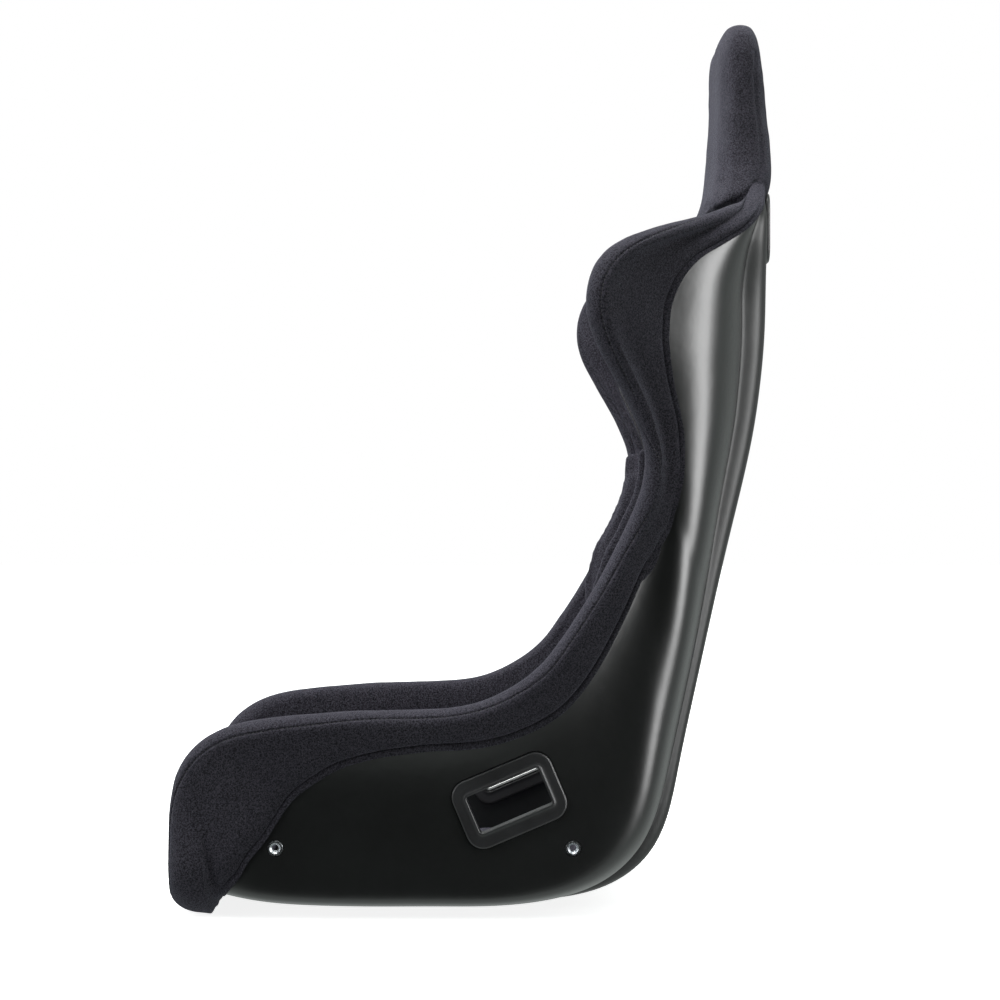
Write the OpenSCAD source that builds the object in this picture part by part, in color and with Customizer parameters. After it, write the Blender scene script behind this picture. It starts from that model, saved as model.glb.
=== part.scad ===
// Fixed-back racing seat: a one-piece glass-fibre bucket shell with fabric rolls over
// its rim, loose cushions, belt slot bezels and threaded side-mount bushes.
// Millimetres, +Z up. The occupant faces -Y and the left side is +X.
// The origin is under the middle of the seat, on the level of its lowest point.

/* [Shell] */
// Thickness of the glass-fibre laminate
wall_t = 5; // [4:0.5:6]
// Number of rings along the shell
shell_rings = 44; // [36:2:46]
// Number of strips across half of the shell
shell_strips = 18; // [14:1:19]

/* [Side mounts] */
// Distance between the front and rear bolt holes
mount_pitch = 290; // [290:0.5:290]
// Y of the front bolt hole
mount_front_y = -188; // [-190:1:-186]
// Height of the bolt holes above the origin
mount_z = 71; // [70:1:76]
// Half the distance between the outer mounting faces
mount_x = 200.6; // [200.4:0.1:201]
// Bore of an M8 threaded bush, its tapping size
bush_bore = 6.8; // [6.8:0.1:6.8]
// Outer diameter of a bush
bush_d = 15; // [14:0.5:16]

/* [Belt bezels] */
// Length of the belt opening
slot_l = 76; // [70:1:80]
// Width of the belt opening
slot_w = 38; // [34:1:40]
// Width of the bezel flange around the opening
flange_w = 14; // [12:1:16]
// Thickness of the bezel flange
flange_t = 4; // [3:0.5:5]
// Tilt of the lap belt openings, rear end up
lap_tilt = 23; // [15:1:30]

/* [Upholstery] */
// Thickness of the cover fabric with its backing
cover_t = 2; // [1.5:0.5:2.5]
// Thickness of the padding on the inside of the rim
roll_in = 20; // [16:1:22]
// Clearance between neighbouring soft parts
gap = 0.8; // [0.6:0.1:1]
// Thickness of the seat cushion
seat_pad_t = 38; // [30:1:42]

/* [Hidden] */

// Station lines from the front edge to the top of the head. Each is the line across
// the side view from the keel, the outermost middle point, to the rim:
// [keel y, keel z, rim y, rim z]
stations = [
  [-258, 25, -264, 118], [-241, 22, -258, 146], [-214, 17, -236, 168], [-180, 11, -200, 180],
  [-135, 7, -150, 186], [-85, 6, -95, 190], [-30, 6, -35, 191], [25, 6, 12, 198],
  [82, 8, 50, 216], [136, 20, 80, 238], [178, 50, 102, 266], [199, 92, 124, 298],
  [209, 137, 145, 335], [219, 185, 163, 372], [231, 240, 178, 405], [244, 300, 185, 438],
  [258, 362, 182, 470], [272, 420, 168, 508], [284, 475, 147, 548], [291, 525, 133, 582],
  [295, 570, 132, 612], [296, 608, 145, 638], [296, 638, 174, 656], [296, 662, 215, 671],
  [296, 684, 255, 687], [295, 706, 277, 709], [293, 732, 282, 736], [292, 762, 281, 766],
  [290, 796, 279, 800], [288, 826, 277, 830], [286, 852, 275, 854], [284, 870, 274, 871],
  [282, 881, 273, 882], [281, 886, 272, 887]];
last = len(stations) - 1;

// Widths and depths against the station number
wall_half = [[0, 184], [1, 193], [2, 199], [3, 200], [13, 201], [15, 206], [17, 214], [19, 228],
  [21, 230], [22, 222], [23, 208], [24, 190], [25, 160], [26, 126], [27, 112], [28, 107],
  [29, 100], [30, 86], [31, 64], [32, 36], [33, 8]];
rim_half = [[0, 190], [1, 198], [2, 206], [3, 211], [4, 215], [6, 218], [13, 217], [15, 220],
  [16, 226], [17, 238], [18, 254], [19, 266], [20, 270], [21, 266], [22, 250], [23, 222],
  [24, 192], [25, 158], [26, 123], [27, 109], [28, 104], [29, 97], [30, 83], [31, 61],
  [32, 34], [33, 7]];
corner = [[0, 22], [7, 22], [8, 26], [9, 34], [10, 46], [11, 60], [12, 70], [14, 74], [17, 80],
  [19, 86], [20, 84], [21, 76], [22, 60], [23, 38], [24, 20], [25, 10], [26, 7], [30, 6], [33, 3]];
spine_deep = [[0, 0], [2, 0], [4, 4], [7, 5], [8, 9], [9, 14], [10, 20], [11, 25], [18, 24],
  [21, 27], [22, 24], [23, 20], [24, 13], [25, 4], [26, 0], [33, 0]];
spine_half = [[0, 100], [7, 104], [12, 112], [18, 118], [21, 130], [23, 148], [24, 150],
  [25, 138], [26, 90], [27, 70], [30, 50], [31, 30], [32, 16], [33, 4]];
groove_deep = [[0, 0], [9, 0], [12, 10], [19, 10], [21, 6], [22, 0], [33, 0]];

// ---- Smooth curves ---------------------------------------------------------------

// Control points of a uniform cubic spline that runs close to the points of list p
function spline(p) = let (n = len(p) - 1,
    q = concat([2 * p[0] - p[1]], p, [2 * p[n] - p[n - 1]]),
    c = [for (i = [1 : n + 1]) q[i] - (q[i - 1] - 2 * q[i] + q[i + 1]) / 6])
  concat([2 * c[0] - c[1]], c, [2 * c[n] - c[n - 1]]);

// Point of the spline with control points c at t, where t counts the given points
function at(c, t) = let (n = len(c) - 3, i = max(0, min(floor(t), n - 1)), f = t - i)
  (pow(1 - f, 3) * c[i] + (3 * pow(f, 3) - 6 * f * f + 4) * c[i + 1]
  + (-3 * pow(f, 3) + 3 * f * f + 3 * f + 1) * c[i + 2] + pow(f, 3) * c[i + 3]) / 6;

function unit(v) = v / norm(v);
function mix(a, b, t) = a + (b - a) * t;
function flip(list) = [for (i = [len(list) - 1 : -1 : 0]) list[i]];

// ---- Shape of the shell ----------------------------------------------------------

frame = spline([for (i = [0 : last]) concat(stations[i], [lookup(i, wall_half),
  lookup(i, rim_half), lookup(i, corner), lookup(i, spine_deep), lookup(i, spine_half),
  lookup(i, groove_deep)])]);

// Outline of half a cross-section in its own plane, [x, distance from the keel]:
// groove, spine panel, its flank, pan or back, corner, wall
span = 14;
wall_from = 11 / span;
function outline(r) = let (reach = norm([r[2] - r[0], r[3] - r[1]]), w = r[4], f = r[5] - w,
    sp = r[7], cr = min(r[6], 0.6 * (reach - sp)), cw = 0.75 * cr, xc = w - cw, sw = r[8],
    xk = min(sw + 16, (sw + xc) / 2), g = r[9], s0 = sp + cr,
    k = max(0, min(1, (f - 18) / 24)))
  [[0, g], [0.35 * sw, g], [0.6 * sw, 0.6 * g], [0.78 * sw, 0], [0.92 * sw, 0],
   [sw, 0.25 * sp], [0.4 * sw + 0.6 * xk, 0.85 * sp], [xk, sp], [(xk + xc) / 2, sp + 0.01 * cr],
   [xc, sp + 0.06 * cr], [w - 0.22 * cw, sp + 0.36 * cr], [w, s0],
   [w + mix(0.02, 0.33, k) * f, mix(s0, reach, 0.35)],
   [w + mix(0.25, 0.7, k) * f, mix(s0, reach, 0.72)], [w + f, reach]];

// A cross-section at station number u: [spline of its outline, keel point, direction]
function section(u) = let (r = at(frame, u))
  [spline(outline(r)), [r[0], r[1]], unit([r[2] - r[0], r[3] - r[1]]), r];

// Point at x and distance s from the keel in the plane of section c
function place(c, x, s) = [x, c[1].x + c[2].x * s, c[1].y + c[2].y * s];

// Outward normal of section c at v, which runs from 0 at the keel to 1 at the rim
function normal2(c, v) = let (a = abs(v), e = 0.004, q0 = at(c[0], (a - e) * span),
    q1 = at(c[0], min(1, a + e) * span), t = unit(q1 - q0)) [t.y, -t.x];
function normal3(c, v) = let (n = normal2(c, v))
  [v < 0 ? -n.x : n.x, c[2].x * n.y, c[2].y * n.y];

// Point of section c at v, moved outwards by d
function skin(c, v, d = 0) = let (q = at(c[0], abs(v) * span) + d * normal2(c, max(0.002, abs(v))))
  place(c, v < 0 ? -q.x : q.x, q.y);

// ---- Solids from rings -----------------------------------------------------------

// Closed solid through equal rings of points, with its ends closed by strips. Both halves
// of a ring are split along the same diagonals, so layers that lie together stay parallel.
module loft(rings) {
  k = len(rings[0]);
  n = len(rings);
  sides = [for (i = [0 : n - 2], j = [0 : k - 1])
    let (a = i * k + j, b = i * k + (j + 1) % k)
    each j < k / 2 ? [[a, b, b + k], [a, b + k, a + k]] : [[a, b, a + k], [b, b + k, a + k]]];
  first = [for (j = [0 : k / 2 - 2]) each [[j + 1, j, k - 1 - j], [j + 1, k - 1 - j, k - 2 - j]]];
  end = [for (f = first) [for (p = flip(f)) p + (n - 1) * k]];
  polyhedron(points = [for (r = rings) each r], faces = concat(sides, first, end));
}

// Ring of a layer between two rows of points
function layer(outer, inner) = concat(outer, flip(inner));

// Evenly spaced numbers from a to b in n steps
function steps(a, b, n) = [for (i = [0 : n]) mix(a, b, i / n)];

// ---- Rolls over the edge ---------------------------------------------------------

// The edge counts from 0 at the middle of the front edge to 1 at the front corner, and
// on along the rim as station number + 1. It mirrors at 0.
function edge_u(e) = max(0, abs(e) - 1);
function edge_v(e) = sign(e) * min(1, abs(e));
function edge_point(e) = skin(section(edge_u(e)), edge_v(e));

// Where the cover ends on the outside, and where the padding ends on the inside: station
// number and v against the edge count. Past the last pair of the first list of each, the
// station number is the edge's own.
tail_u = [[0, 0.8], [0.6, 0.8], [0.8, 0.9], [0.9, 1.05], [1, 1.25], [2, 2.1], [3, 2.8], [4, 3.5],
  [5, 4.4], [6, 5.2], [7, 6]];
tail_v = [[0, 0], [0.6, 0.5], [0.8, 0.62], [0.9, 0.68], [1, 0.73], [2, 0.815], [3, 0.85],
  [4, 0.9], [5, 0.937], [6, 0.953], [7, 0.961], [9, 0.95], [11, 0.939], [13, 0.921],
  [15, 0.867], [17, 0.775], [18, 0.785], [19, 0.8], [21, 0.8], [23, 0.775], [24, 0.74], [25, 0.69],
  [26, 0.77]];
inner_u = [[0, 1.9], [0.6, 1.9], [0.8, 1.75], [0.9, 1.6], [1, 1.45], [2, 1.7], [3, 2.3], [4, 3.1],
  [5, 4]];
inner_v = [[0, 0], [0.6, 0.56], [0.8, 0.73], [0.9, 0.81], [1, 0.88], [2, 0.905], [3, 0.92],
  [4, 0.93], [7, 0.936], [9, 0.937], [11, 0.922], [13, 0.887], [15, 0.826], [17, 0.75],
  [21, 0.745], [24, 0.72], [25, 0.73], [26, 0.82]];
// Height of the roll beyond the edge and its thickness outside, against the edge count
roll_up = [[0, 43], [0.6, 39], [0.8, 35], [1, 29], [2, 22], [3, 18], [4, 15], [5, 13], [12, 12],
  [16, 10], [26, 10]];
roll_out = [[0, 24], [0.6, 24], [0.8, 21], [0.9, 16], [1, 12], [3, 8], [5, 6], [26, 6]];
roll_inside = [[0, roll_in], [20, roll_in], [23, 14], [25, 9], [26, 8]];
// How much thinner the padding is at its inside end, and its clearance to the shell
roll_fade = 9;
hug = 2 * gap;

function tail_end(a) = [a <= 7 ? lookup(a, tail_u) : a - 1, lookup(a, tail_v)];
function inner_end(a) = [a <= 5 ? lookup(a, inner_u) : a - 1, lookup(a, inner_v)];

// Row across the roll at edge count e, from the outside end over the edge to the inside
// end. out, up and inside are its distances from the shell's outer face, its edge and its
// inner face, lift raises the foot of the arc, and n_tail is 0 for a row with no outside.
function roll_row(e, out, up, inside, lift = 0, n_tail = 4, n_arc = 6, n_in = 4) = let (
    a = abs(e), u = edge_u(e), v = edge_v(e), c = section(u), p = skin(c, v),
    nn = normal3(c, v), t = unit(edge_point(e + 0.03) - edge_point(e - 0.03)),
    b = unit(cross(nn, t)), m = cross(t, b), tail = tail_end(a), deep = inner_end(a),
    s = e < 0 ? -1 : 1, lo = -wall_t - inside, mid = (out + lo) / 2, half = (out - lo) / 2,
    fade = roll_fade * lookup(a, roll_inside) / roll_in)
  concat(
    n_tail == 0 ? [] : [for (i = [0 : n_tail - 1]) let (f = i / n_tail)
      skin(section(mix(tail[0], u, f)), s * mix(tail[1], abs(v), f),
        mix(min(out, 3), out, min(1, 2.2 * f)))],
    [for (i = [0 : n_arc]) let (w = 180 * i / n_arc)
      p + m * (mid + half * cos(w)) + b * (lift + up * pow(sin(w), 0.8))],
    [for (i = [1 : n_in]) let (f = i / n_in)
      skin(section(mix(u, deep[0], f)), s * mix(abs(v), deep[1], f),
        min(-wall_t - hug, lo + fade * f * f))]);

// Cover of the roll along the edge counts in list es
module roll_cover(es) {
  loft([for (e = es) let (a = abs(e), out = lookup(a, roll_out), up = lookup(a, roll_up),
      inside = lookup(a, roll_inside)) layer(
    roll_row(e, out, up, inside),
    roll_row(e, a < 1 ? 2 * hug : hug, up - cover_t, inside - cover_t))]);
}

// Foam under it, over the edge and down the inside
module roll_foam(es) {
  under = cover_t + hug;
  loft([for (e = es) let (a = abs(e), up = lookup(a, roll_up), inside = lookup(a, roll_inside)) layer(
    roll_row(e, 0, up - under - hug, inside - under, hug, 0),
    roll_row(e, -1.2, 0.01, hug, hug, 0))]);
}

// Edge counts at the upper ends of the rolls, and of the rows of the nose
thigh_end = 15.95;
wing_end = 25.7;
nose_es = [-0.995, -0.95, -0.9, -0.85, -0.8, -0.74, -0.66, -0.5, -0.3, -0.1,
  0.1, 0.3, 0.5, 0.66, 0.74, 0.8, 0.85, 0.9, 0.95, 0.995];

// ---- Parts -----------------------------------------------------------------------

// Rounded rectangle outline
function rounded(l, w, r, n = 5) = [for (q = [0 : 3], i = [0 : n])
  let (a = 90 * q + 90 * i / n, sx = (q == 0 || q == 3) ? 1 : -1, sy = q < 2 ? 1 : -1)
  [sx * (l / 2 - r) + r * cos(a), sy * (w / 2 - r) + r * sin(a)]];

// Half of a belt bezel: a flange lying on z = 0 and a sleeve reaching down into the slot
module bezel(sleeve, deep) {
  difference() {
    union() {
      linear_extrude(flange_t)
        polygon(rounded(slot_l + 2 * flange_w, slot_w + 2 * flange_w + 4, 17));
      translate([0, 0, -deep]) linear_extrude(deep + 1)
        polygon(rounded(slot_l + 2 * sleeve, slot_w + 2 * sleeve, 3 + sleeve));
    }
    translate([0, 0, -deep - 1]) linear_extrude(deep + flange_t + 2)
      polygon(rounded(slot_l + 2 * sleeve - 3, slot_w + 2 * sleeve - 3, 1.5 + sleeve));
  }
}

// Placement of the bezels, with the z of the child pointing out of the seat
lap_at = [40, 118];
shoulder_at = [71, 684];
crotch_at = [-90, 6];
module at_lap(x) {
  translate([x, lap_at.x, lap_at.y]) rotate([lap_tilt, 0, 0]) rotate([90, 0, 90]) children();
}
module at_shoulder(side, y) {
  translate([side * shoulder_at.x, y, shoulder_at.y]) rotate([-90, 0, 0]) children();
}
module at_crotch(z) {
  translate([0, crotch_at.x, z]) rotate([180, 0, 0]) children();
}
// Prism that cuts the slot for a pair of bezels
slot_play = 4.3;
module slot_cut(depth) {
  translate([0, 0, -depth]) linear_extrude(2 * depth)
    polygon(rounded(slot_l + 2 * slot_play, slot_w + 2 * slot_play, 7));
}
outer_sleeve = 1.5;
inner_sleeve = 3.5;
lap_seat = 200.4;
bezel_gap = 0.5;
pan_face = 6;
back_face = 296;
panel_t = 12;

module shell() {
  vs = steps(-1, 1, 2 * shell_strips);
  color("#15161a") difference() {
    loft([for (u = steps(0, last, shell_rings)) let (c = section(u))
      layer([for (v = vs) skin(c, v)], [for (v = vs) skin(c, v, -wall_t)])]);
    for (side = [-1, 1]) {
      for (y = [mount_front_y, mount_front_y + mount_pitch])
        translate([side * mount_x, y, mount_z]) rotate([0, 90, 0])
          cylinder(r = bush_d / 2 + 0.6, h = 60, center = true, $fn = 12);
      mirror([side < 0 ? 1 : 0, 0, 0]) at_lap(lap_seat) {
        slot_cut(20);
        linear_extrude(12) polygon(rounded(slot_l + 2 * flange_w + 2, slot_w + 2 * flange_w + 6, 18));
      }
      at_shoulder(side, back_face) slot_cut(20);
    }
    at_crotch(pan_face) slot_cut(12);
  }
}

// Threaded bush clamped through the side wall, bore along X
module bush(side, y) {
  inner_face = mount_x - wall_t - 1.4;
  color("#c9ccd0") translate([0, y, mount_z]) mirror([side < 0 ? 1 : 0, 0, 0])
    rotate([0, 90, 0]) difference() {
      union() {
        translate([0, 0, inner_face - 3]) cylinder(r = bush_d / 2, h = mount_x - inner_face + 3);
        translate([0, 0, inner_face - 3]) cylinder(r = 13, h = 3);
      }
      translate([0, 0, inner_face - 4]) cylinder(r = bush_bore / 2, h = 20);
    }
}

module lap_bezel(side, outer) {
  color("#26272b") mirror([side < 0 ? 1 : 0, 0, 0])
    if (outer) at_lap(lap_seat + bezel_gap) bezel(outer_sleeve, 12);
    else at_lap(mount_x - wall_t - 1.6) mirror([0, 0, 1]) bezel(inner_sleeve, 5);
}

module shoulder_bezel(side, rear) {
  color("#26272b")
    if (rear) at_shoulder(side, back_face + 0.8) bezel(outer_sleeve, 24);
    else at_shoulder(side, back_face - wall_t - panel_t - 1.6) mirror([0, 0, 1]) bezel(inner_sleeve, 14);
}

module crotch_bezel(lower) {
  color("#26272b")
    if (lower) at_crotch(pan_face - 1) bezel(outer_sleeve, 13);
    else at_crotch(pan_face + wall_t + 1.2) mirror([0, 0, 1]) bezel(inner_sleeve, 5);
}

velour = "#2f2e35";
foam = "#8d8a80";

module nose_foam() { color(foam) roll_foam(nose_es); }
module nose_cover() { color(velour) roll_cover(nose_es); }
module sided(side) { mirror([side < 0 ? 1 : 0, 0, 0]) children(); }
thigh_es = concat([1.0, 1.5, 2, 2.5, 3, 3.5, 4, 4.5], steps(5.2, thigh_end, 9));
wing_es = steps(thigh_end + 0.04, wing_end, 13);
module thigh_foam(side) { color(foam) sided(side) roll_foam(thigh_es); }
module thigh_cover(side) { color(velour) sided(side) roll_cover(thigh_es); }
module wing_foam(side) { color(foam) sided(side) roll_foam(wing_es); }
module wing_cover(side) { color(velour) sided(side) roll_cover(wing_es); }

// Head pad: [z, half-width, front y, rear y] of its outer form
head_form = [[724, 146, 246, 301], [736, 136, 247, 302.5], [752, 129, 249, 303],
  [778, 125, 251, 302], [812, 121, 253, 299.5], [844, 117, 254, 297], [868, 109, 255, 296],
  [884, 97, 257, 295], [894, 80, 261, 292], [899.5, 56, 267, 288], [901.5, 24, 273, 282]];
head_sides = 28;
function head_ring(h, t, rear) = let (hw = h[1] - t, y0 = h[2] + t, y1 = h[3] - t,
    m = (y0 + y1) / 2, hy = (y1 - y0) / 2)
  [for (i = [0 : head_sides - 1]) let (a = -360 * (i + 0.5) / head_sides)
    [hw * sign(cos(a)) * pow(abs(cos(a)), 0.4),
      min(rear, m + hy * sign(sin(a)) * pow(abs(sin(a)), 0.55)), h[0] - t]];
module head_cover() {
  color(velour) loft(concat(
    flip([for (h = head_form) head_ring([h[0] == 724 ? 726 : h[0], h[1], h[2], h[3]], cover_t, 400)]),
    [for (h = head_form) head_ring(h, 0, 400)]));
}
module head_foam() {
  t = cover_t + 2 * gap;
  color(foam) loft([for (h = head_form) if (h[0] > 730 && h[0] < 895)
    head_ring(h, t, 280.2 - max(0, h[0] - 740) * 0.058)]);
}

// Upper back panel between the wings
panel_us = steps(18.7, 25.4, 9);
panel_v = [[23, 0.58], [24.5, 0.46], [26, 0.44]];
module panel_layer(from, to) {
  difference() {
    loft([for (u = panel_us) let (c = section(u), v_end = lookup(u, panel_v), vs = steps(-v_end, v_end, 16))
      layer([for (v = vs) skin(c, v, -wall_t - from)], [for (v = vs) skin(c, v, -wall_t - to)])]);
    for (side = [-1, 1]) at_shoulder(side, back_face) slot_cut(40);
  }
}
module back_panel_foam() { color(foam) panel_layer(3 * gap, panel_t - cover_t - 2 * gap); }
module back_panel_mesh() { color("#3a3941") panel_layer(panel_t - cover_t, panel_t); }

// Seat cushion: u of its front and rear, half-width, and play under it for the strips
seat_from = 2.5;
seat_to = 8.9;
seat_v = 0.59;
under_play = 3.4;
module seat_layer(low, high) {
  vs = steps(-seat_v, seat_v, 12);
  difference() {
    loft([for (u = steps(seat_from, seat_to, 11)) let (c = section(u), sp = c[3][7],
        round_end = 10 * pow(2 * abs(u - (seat_from + seat_to) / 2) / (seat_to - seat_from), 6))
      layer([for (v = vs) low < 0 ? skin(c, v, -wall_t - under_play) : let (q = skin(c, v, -wall_t))
          place(c, q.x, sp + seat_top(low, v, round_end))],
        [for (v = vs) let (q = skin(c, v, -wall_t)) place(c, q.x, sp + seat_top(high, v, round_end))])]);
    translate([0, crotch_at.x, 0]) linear_extrude(120)
      polygon(rounded(slot_l + 2 * flange_w + 10, slot_w + 2 * flange_w + 12, 22));
  }
}
function seat_top(h, v, round_end) = wall_t + h - round_end - 9 * pow(abs(v) / seat_v, 4);
module seat_cushion_foam() { color(foam) seat_layer(-1, seat_pad_t - cover_t - gap); }
module seat_cushion_cover() { color(velour) seat_layer(seat_pad_t - cover_t, seat_pad_t); }

// Back cushion with side flaps that line the rolls and stand a little ahead of them. Its
// flaps run between these station numbers, and its middle reaches further up.
back_from = 9.7;
back_to = 16.8;
middle_rise = 1.5;
flap_x = 180;
flap_t = 20;
flap_ahead = 17;
function middle(u, w) = section(u + middle_rise * (1 - w) * pow((u - back_from) / (back_to - back_from), 2));
function flap_top(c, u) = let (r = c[3], k = min(1, (u - back_from) / 2.2))
  mix(r[7] + 90, norm([r[2] - r[0], r[3] - r[1]]), k);
// Points across half of it: v and depth of the rear face, then the two points of the flap
function back_rear(u) = concat(
  [for (v = steps(0, 0.7, 7)) skin(middle(u, pow(v / 0.7, 2)), v, -wall_t - under_play - 2)],
  let (c = section(u), top = flap_top(c, u), q = skin(c, 0.7), s = norm([q.y - c[1].x, q.z - c[1].y]))
  [place(c, flap_x, mix(s, top, 0.5)), place(c, flap_x - 2, top + flap_ahead - 7)]);
// Front face, t deep in the cushion: [x, height, share of the rise to the flap's top]
back_profile = [[0, 0, 0], [30, 0, 0], [60, 1, 0], [88, 5, 0], [112, 14, 0], [130, 28, 0],
  [142, 28, 0.25], [152, 28, 0.55], [flap_x - flap_t, 28, 0.85], [flap_x - flap_t / 2, 28, 1]];
function back_front(u, t) = [for (p = back_profile) let (w = pow(min(1, p.x / 130), 2),
    c = middle(u, w), flap = section(u), h = c[3][7] + 8 + mix(46, 36, min(1, (u - back_from) / 2.2)),
    tip = p[2] == 1, s = mix(h + p.y, flap_top(flap, u) + (tip ? flap_ahead : 0), p[2]),
    slope = max(0, min(1, (p.x - 100) / 40)))
  place(c, p.x + (tip ? 0 : t * slope), s - t * (tip ? 1 : 1 - 0.6 * slope))];
function both(half) = concat([for (i = [len(half) - 1 : -1 : 1]) [-half[i].x, half[i].y, half[i].z]], half);
module back_layer(low, high) {
  loft([for (u = steps(back_from, back_to, 11))
    layer(both(low < 0 ? back_rear(u) : back_front(u, low)), both(back_front(u, high)))]);
}
module back_cushion_foam() { color(foam) back_layer(-1, cover_t + 2 * gap); }
module back_cushion_cover() { color(velour) back_layer(cover_t, 0); }

// Pairs of hook and loop strips between the shell and a cushion
strip_v = [0.15, 0.21];
module strips(from, to, low, high) {
  for (side = [-1, 1])
    sided(side) loft([for (u = steps(from, to, 8)) let (c = section(u))
      layer([for (v = steps(strip_v[0], strip_v[1], 2)) skin(c, v, -wall_t - low)],
        [for (v = steps(strip_v[0], strip_v[1], 2)) skin(c, v, -wall_t - high)])]);
}
module seat_hook_strips() { color("#1a1a1c") strips(3, 7.5, 0.6, 1.6); }
module seat_loop_strips() { color("#3b3b40") strips(3, 7.5, 2.0, 2.9); }
module back_hook_strips() { color("#1a1a1c") strips(12.5, 16, 0.6, 1.6); }
module back_loop_strips() { color("#3b3b40") strips(12.5, 16, 2.0, 2.9); }

shell();
bush(1, mount_front_y);  // mount_bush_front_left
bush(-1, mount_front_y);  // mount_bush_front_right
bush(1, mount_front_y + mount_pitch);  // mount_bush_rear_left
bush(-1, mount_front_y + mount_pitch);  // mount_bush_rear_right
lap_bezel(1, true);  // lap_bezel_outer_left
lap_bezel(-1, true);  // lap_bezel_outer_right
lap_bezel(1, false);  // lap_bezel_inner_left
lap_bezel(-1, false);  // lap_bezel_inner_right
shoulder_bezel(1, true);  // shoulder_bezel_rear_left
shoulder_bezel(-1, true);  // shoulder_bezel_rear_right
shoulder_bezel(1, false);  // shoulder_bezel_front_left
shoulder_bezel(-1, false);  // shoulder_bezel_front_right
crotch_bezel(true);  // crotch_bezel_lower
crotch_bezel(false);  // crotch_bezel_upper
nose_foam();
nose_cover();
thigh_foam(1);  // thigh_foam_left
thigh_foam(-1);  // thigh_foam_right
thigh_cover(1);  // thigh_cover_left
thigh_cover(-1);  // thigh_cover_right
wing_foam(1);  // wing_foam_left
wing_foam(-1);  // wing_foam_right
wing_cover(1);  // wing_cover_left
wing_cover(-1);  // wing_cover_right
head_foam();
head_cover();
back_panel_foam();
back_panel_mesh();
seat_cushion_foam();
seat_cushion_cover();
back_cushion_foam();
back_cushion_cover();
seat_hook_strips();
seat_loop_strips();
back_hook_strips();
back_loop_strips();
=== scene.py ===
# %% [markdown]
# # A fixed-back racing seat
# The seat is a one-piece glass-fibre bucket with padded rolls over its rim, a head pad,
# a mesh panel behind the shoulders, two loose cushions, ten belt bezels and four bushes.
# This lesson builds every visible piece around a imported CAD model, which fixes where
# each body is. The CAD model is loaded first and never moved.

# %% Load the frame
import math

import bmesh
import bpy
import numpy as np
from mathutils import Matrix, Vector, noise


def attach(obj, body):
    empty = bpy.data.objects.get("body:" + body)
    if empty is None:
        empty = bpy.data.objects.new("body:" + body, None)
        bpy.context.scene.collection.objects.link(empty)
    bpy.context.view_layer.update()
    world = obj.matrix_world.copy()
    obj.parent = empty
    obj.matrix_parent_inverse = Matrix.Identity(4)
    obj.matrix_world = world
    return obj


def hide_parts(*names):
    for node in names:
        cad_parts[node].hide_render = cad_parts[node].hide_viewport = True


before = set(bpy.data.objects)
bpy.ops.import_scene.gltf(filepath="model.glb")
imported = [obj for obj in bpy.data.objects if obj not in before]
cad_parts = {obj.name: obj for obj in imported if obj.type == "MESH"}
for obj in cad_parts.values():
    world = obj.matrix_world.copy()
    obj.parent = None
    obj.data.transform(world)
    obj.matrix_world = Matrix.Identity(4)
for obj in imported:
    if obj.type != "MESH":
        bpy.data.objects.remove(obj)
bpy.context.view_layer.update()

SHELL, SEAT, BACK = "shell_assembly", "seat_cushion", "back_cushion"

# %% [markdown]
# The camera looks level and square at the seat's left side from almost three metres
# away with a long lens, as a catalogue picture does. It is made first so that every
# later step can be judged through it.

# %% Camera
camera = bpy.data.objects.new("camera", bpy.data.cameras.new("camera"))
bpy.context.scene.collection.objects.link(camera)
camera.location = (2.83, 0.06, 0.41)
camera.rotation_euler = (math.radians(90), 0, math.radians(90))
camera.data.lens = 97.3
camera.data.shift_x = -0.03
bpy.context.scene.camera = camera
print("camera at", tuple(round(x, 2) for x in camera.location))

# %% [markdown]
# ## The shape of the shell
# A seat shell is drawn as a row of stations. Each station is a line across the side
# view from the keel, the outermost middle point, to the rim, with widths and depths of
# its own. A smooth curve through the stations gives a section anywhere. One function,
# `skin`, then turns a station number, a place across (0 at the keel, 1 at the rim) and a
# distance out of the laminate into a point. Rolls, panels and cushions all use it, so
# everything fits everything else.

# %% Stations and widths
stations = np.array([
    [-258, 25, -264, 118], [-241, 22, -258, 146], [-214, 17, -236, 168],
    [-180, 11, -200, 180], [-135, 7, -150, 186], [-85, 6, -95, 190], [-30, 6, -35, 191],
    [25, 6, 12, 198], [82, 8, 50, 216], [136, 20, 80, 238], [178, 50, 102, 266],
    [199, 92, 124, 298], [209, 137, 145, 335], [219, 185, 163, 372], [231, 240, 178, 405],
    [244, 300, 185, 438], [258, 362, 182, 470], [272, 420, 168, 508], [284, 475, 147, 548],
    [291, 525, 133, 582], [295, 570, 132, 612], [296, 608, 145, 638], [296, 638, 174, 656],
    [296, 662, 215, 671], [296, 684, 255, 687], [295, 706, 277, 709], [293, 732, 282, 736],
    [292, 762, 281, 766], [290, 796, 279, 800], [288, 826, 277, 830], [286, 852, 275, 854],
    [284, 870, 274, 871], [282, 881, 273, 882], [281, 886, 272, 887]], float)
wall_half = [(0, 184), (1, 193), (2, 199), (3, 200), (13, 201), (15, 206), (17, 214),
             (19, 228), (21, 230), (22, 222), (23, 208), (24, 190), (25, 160), (26, 126),
             (27, 112), (28, 107), (29, 100), (30, 86), (31, 64), (32, 36), (33, 8)]
rim_half = [(0, 190), (1, 198), (2, 206), (3, 211), (4, 215), (6, 218), (13, 217),
            (15, 220), (16, 226), (17, 238), (18, 254), (19, 266), (20, 270), (21, 266),
            (22, 250), (23, 222), (24, 192), (25, 158), (26, 123), (27, 109), (28, 104),
            (29, 97), (30, 83), (31, 61), (32, 34), (33, 7)]
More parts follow.
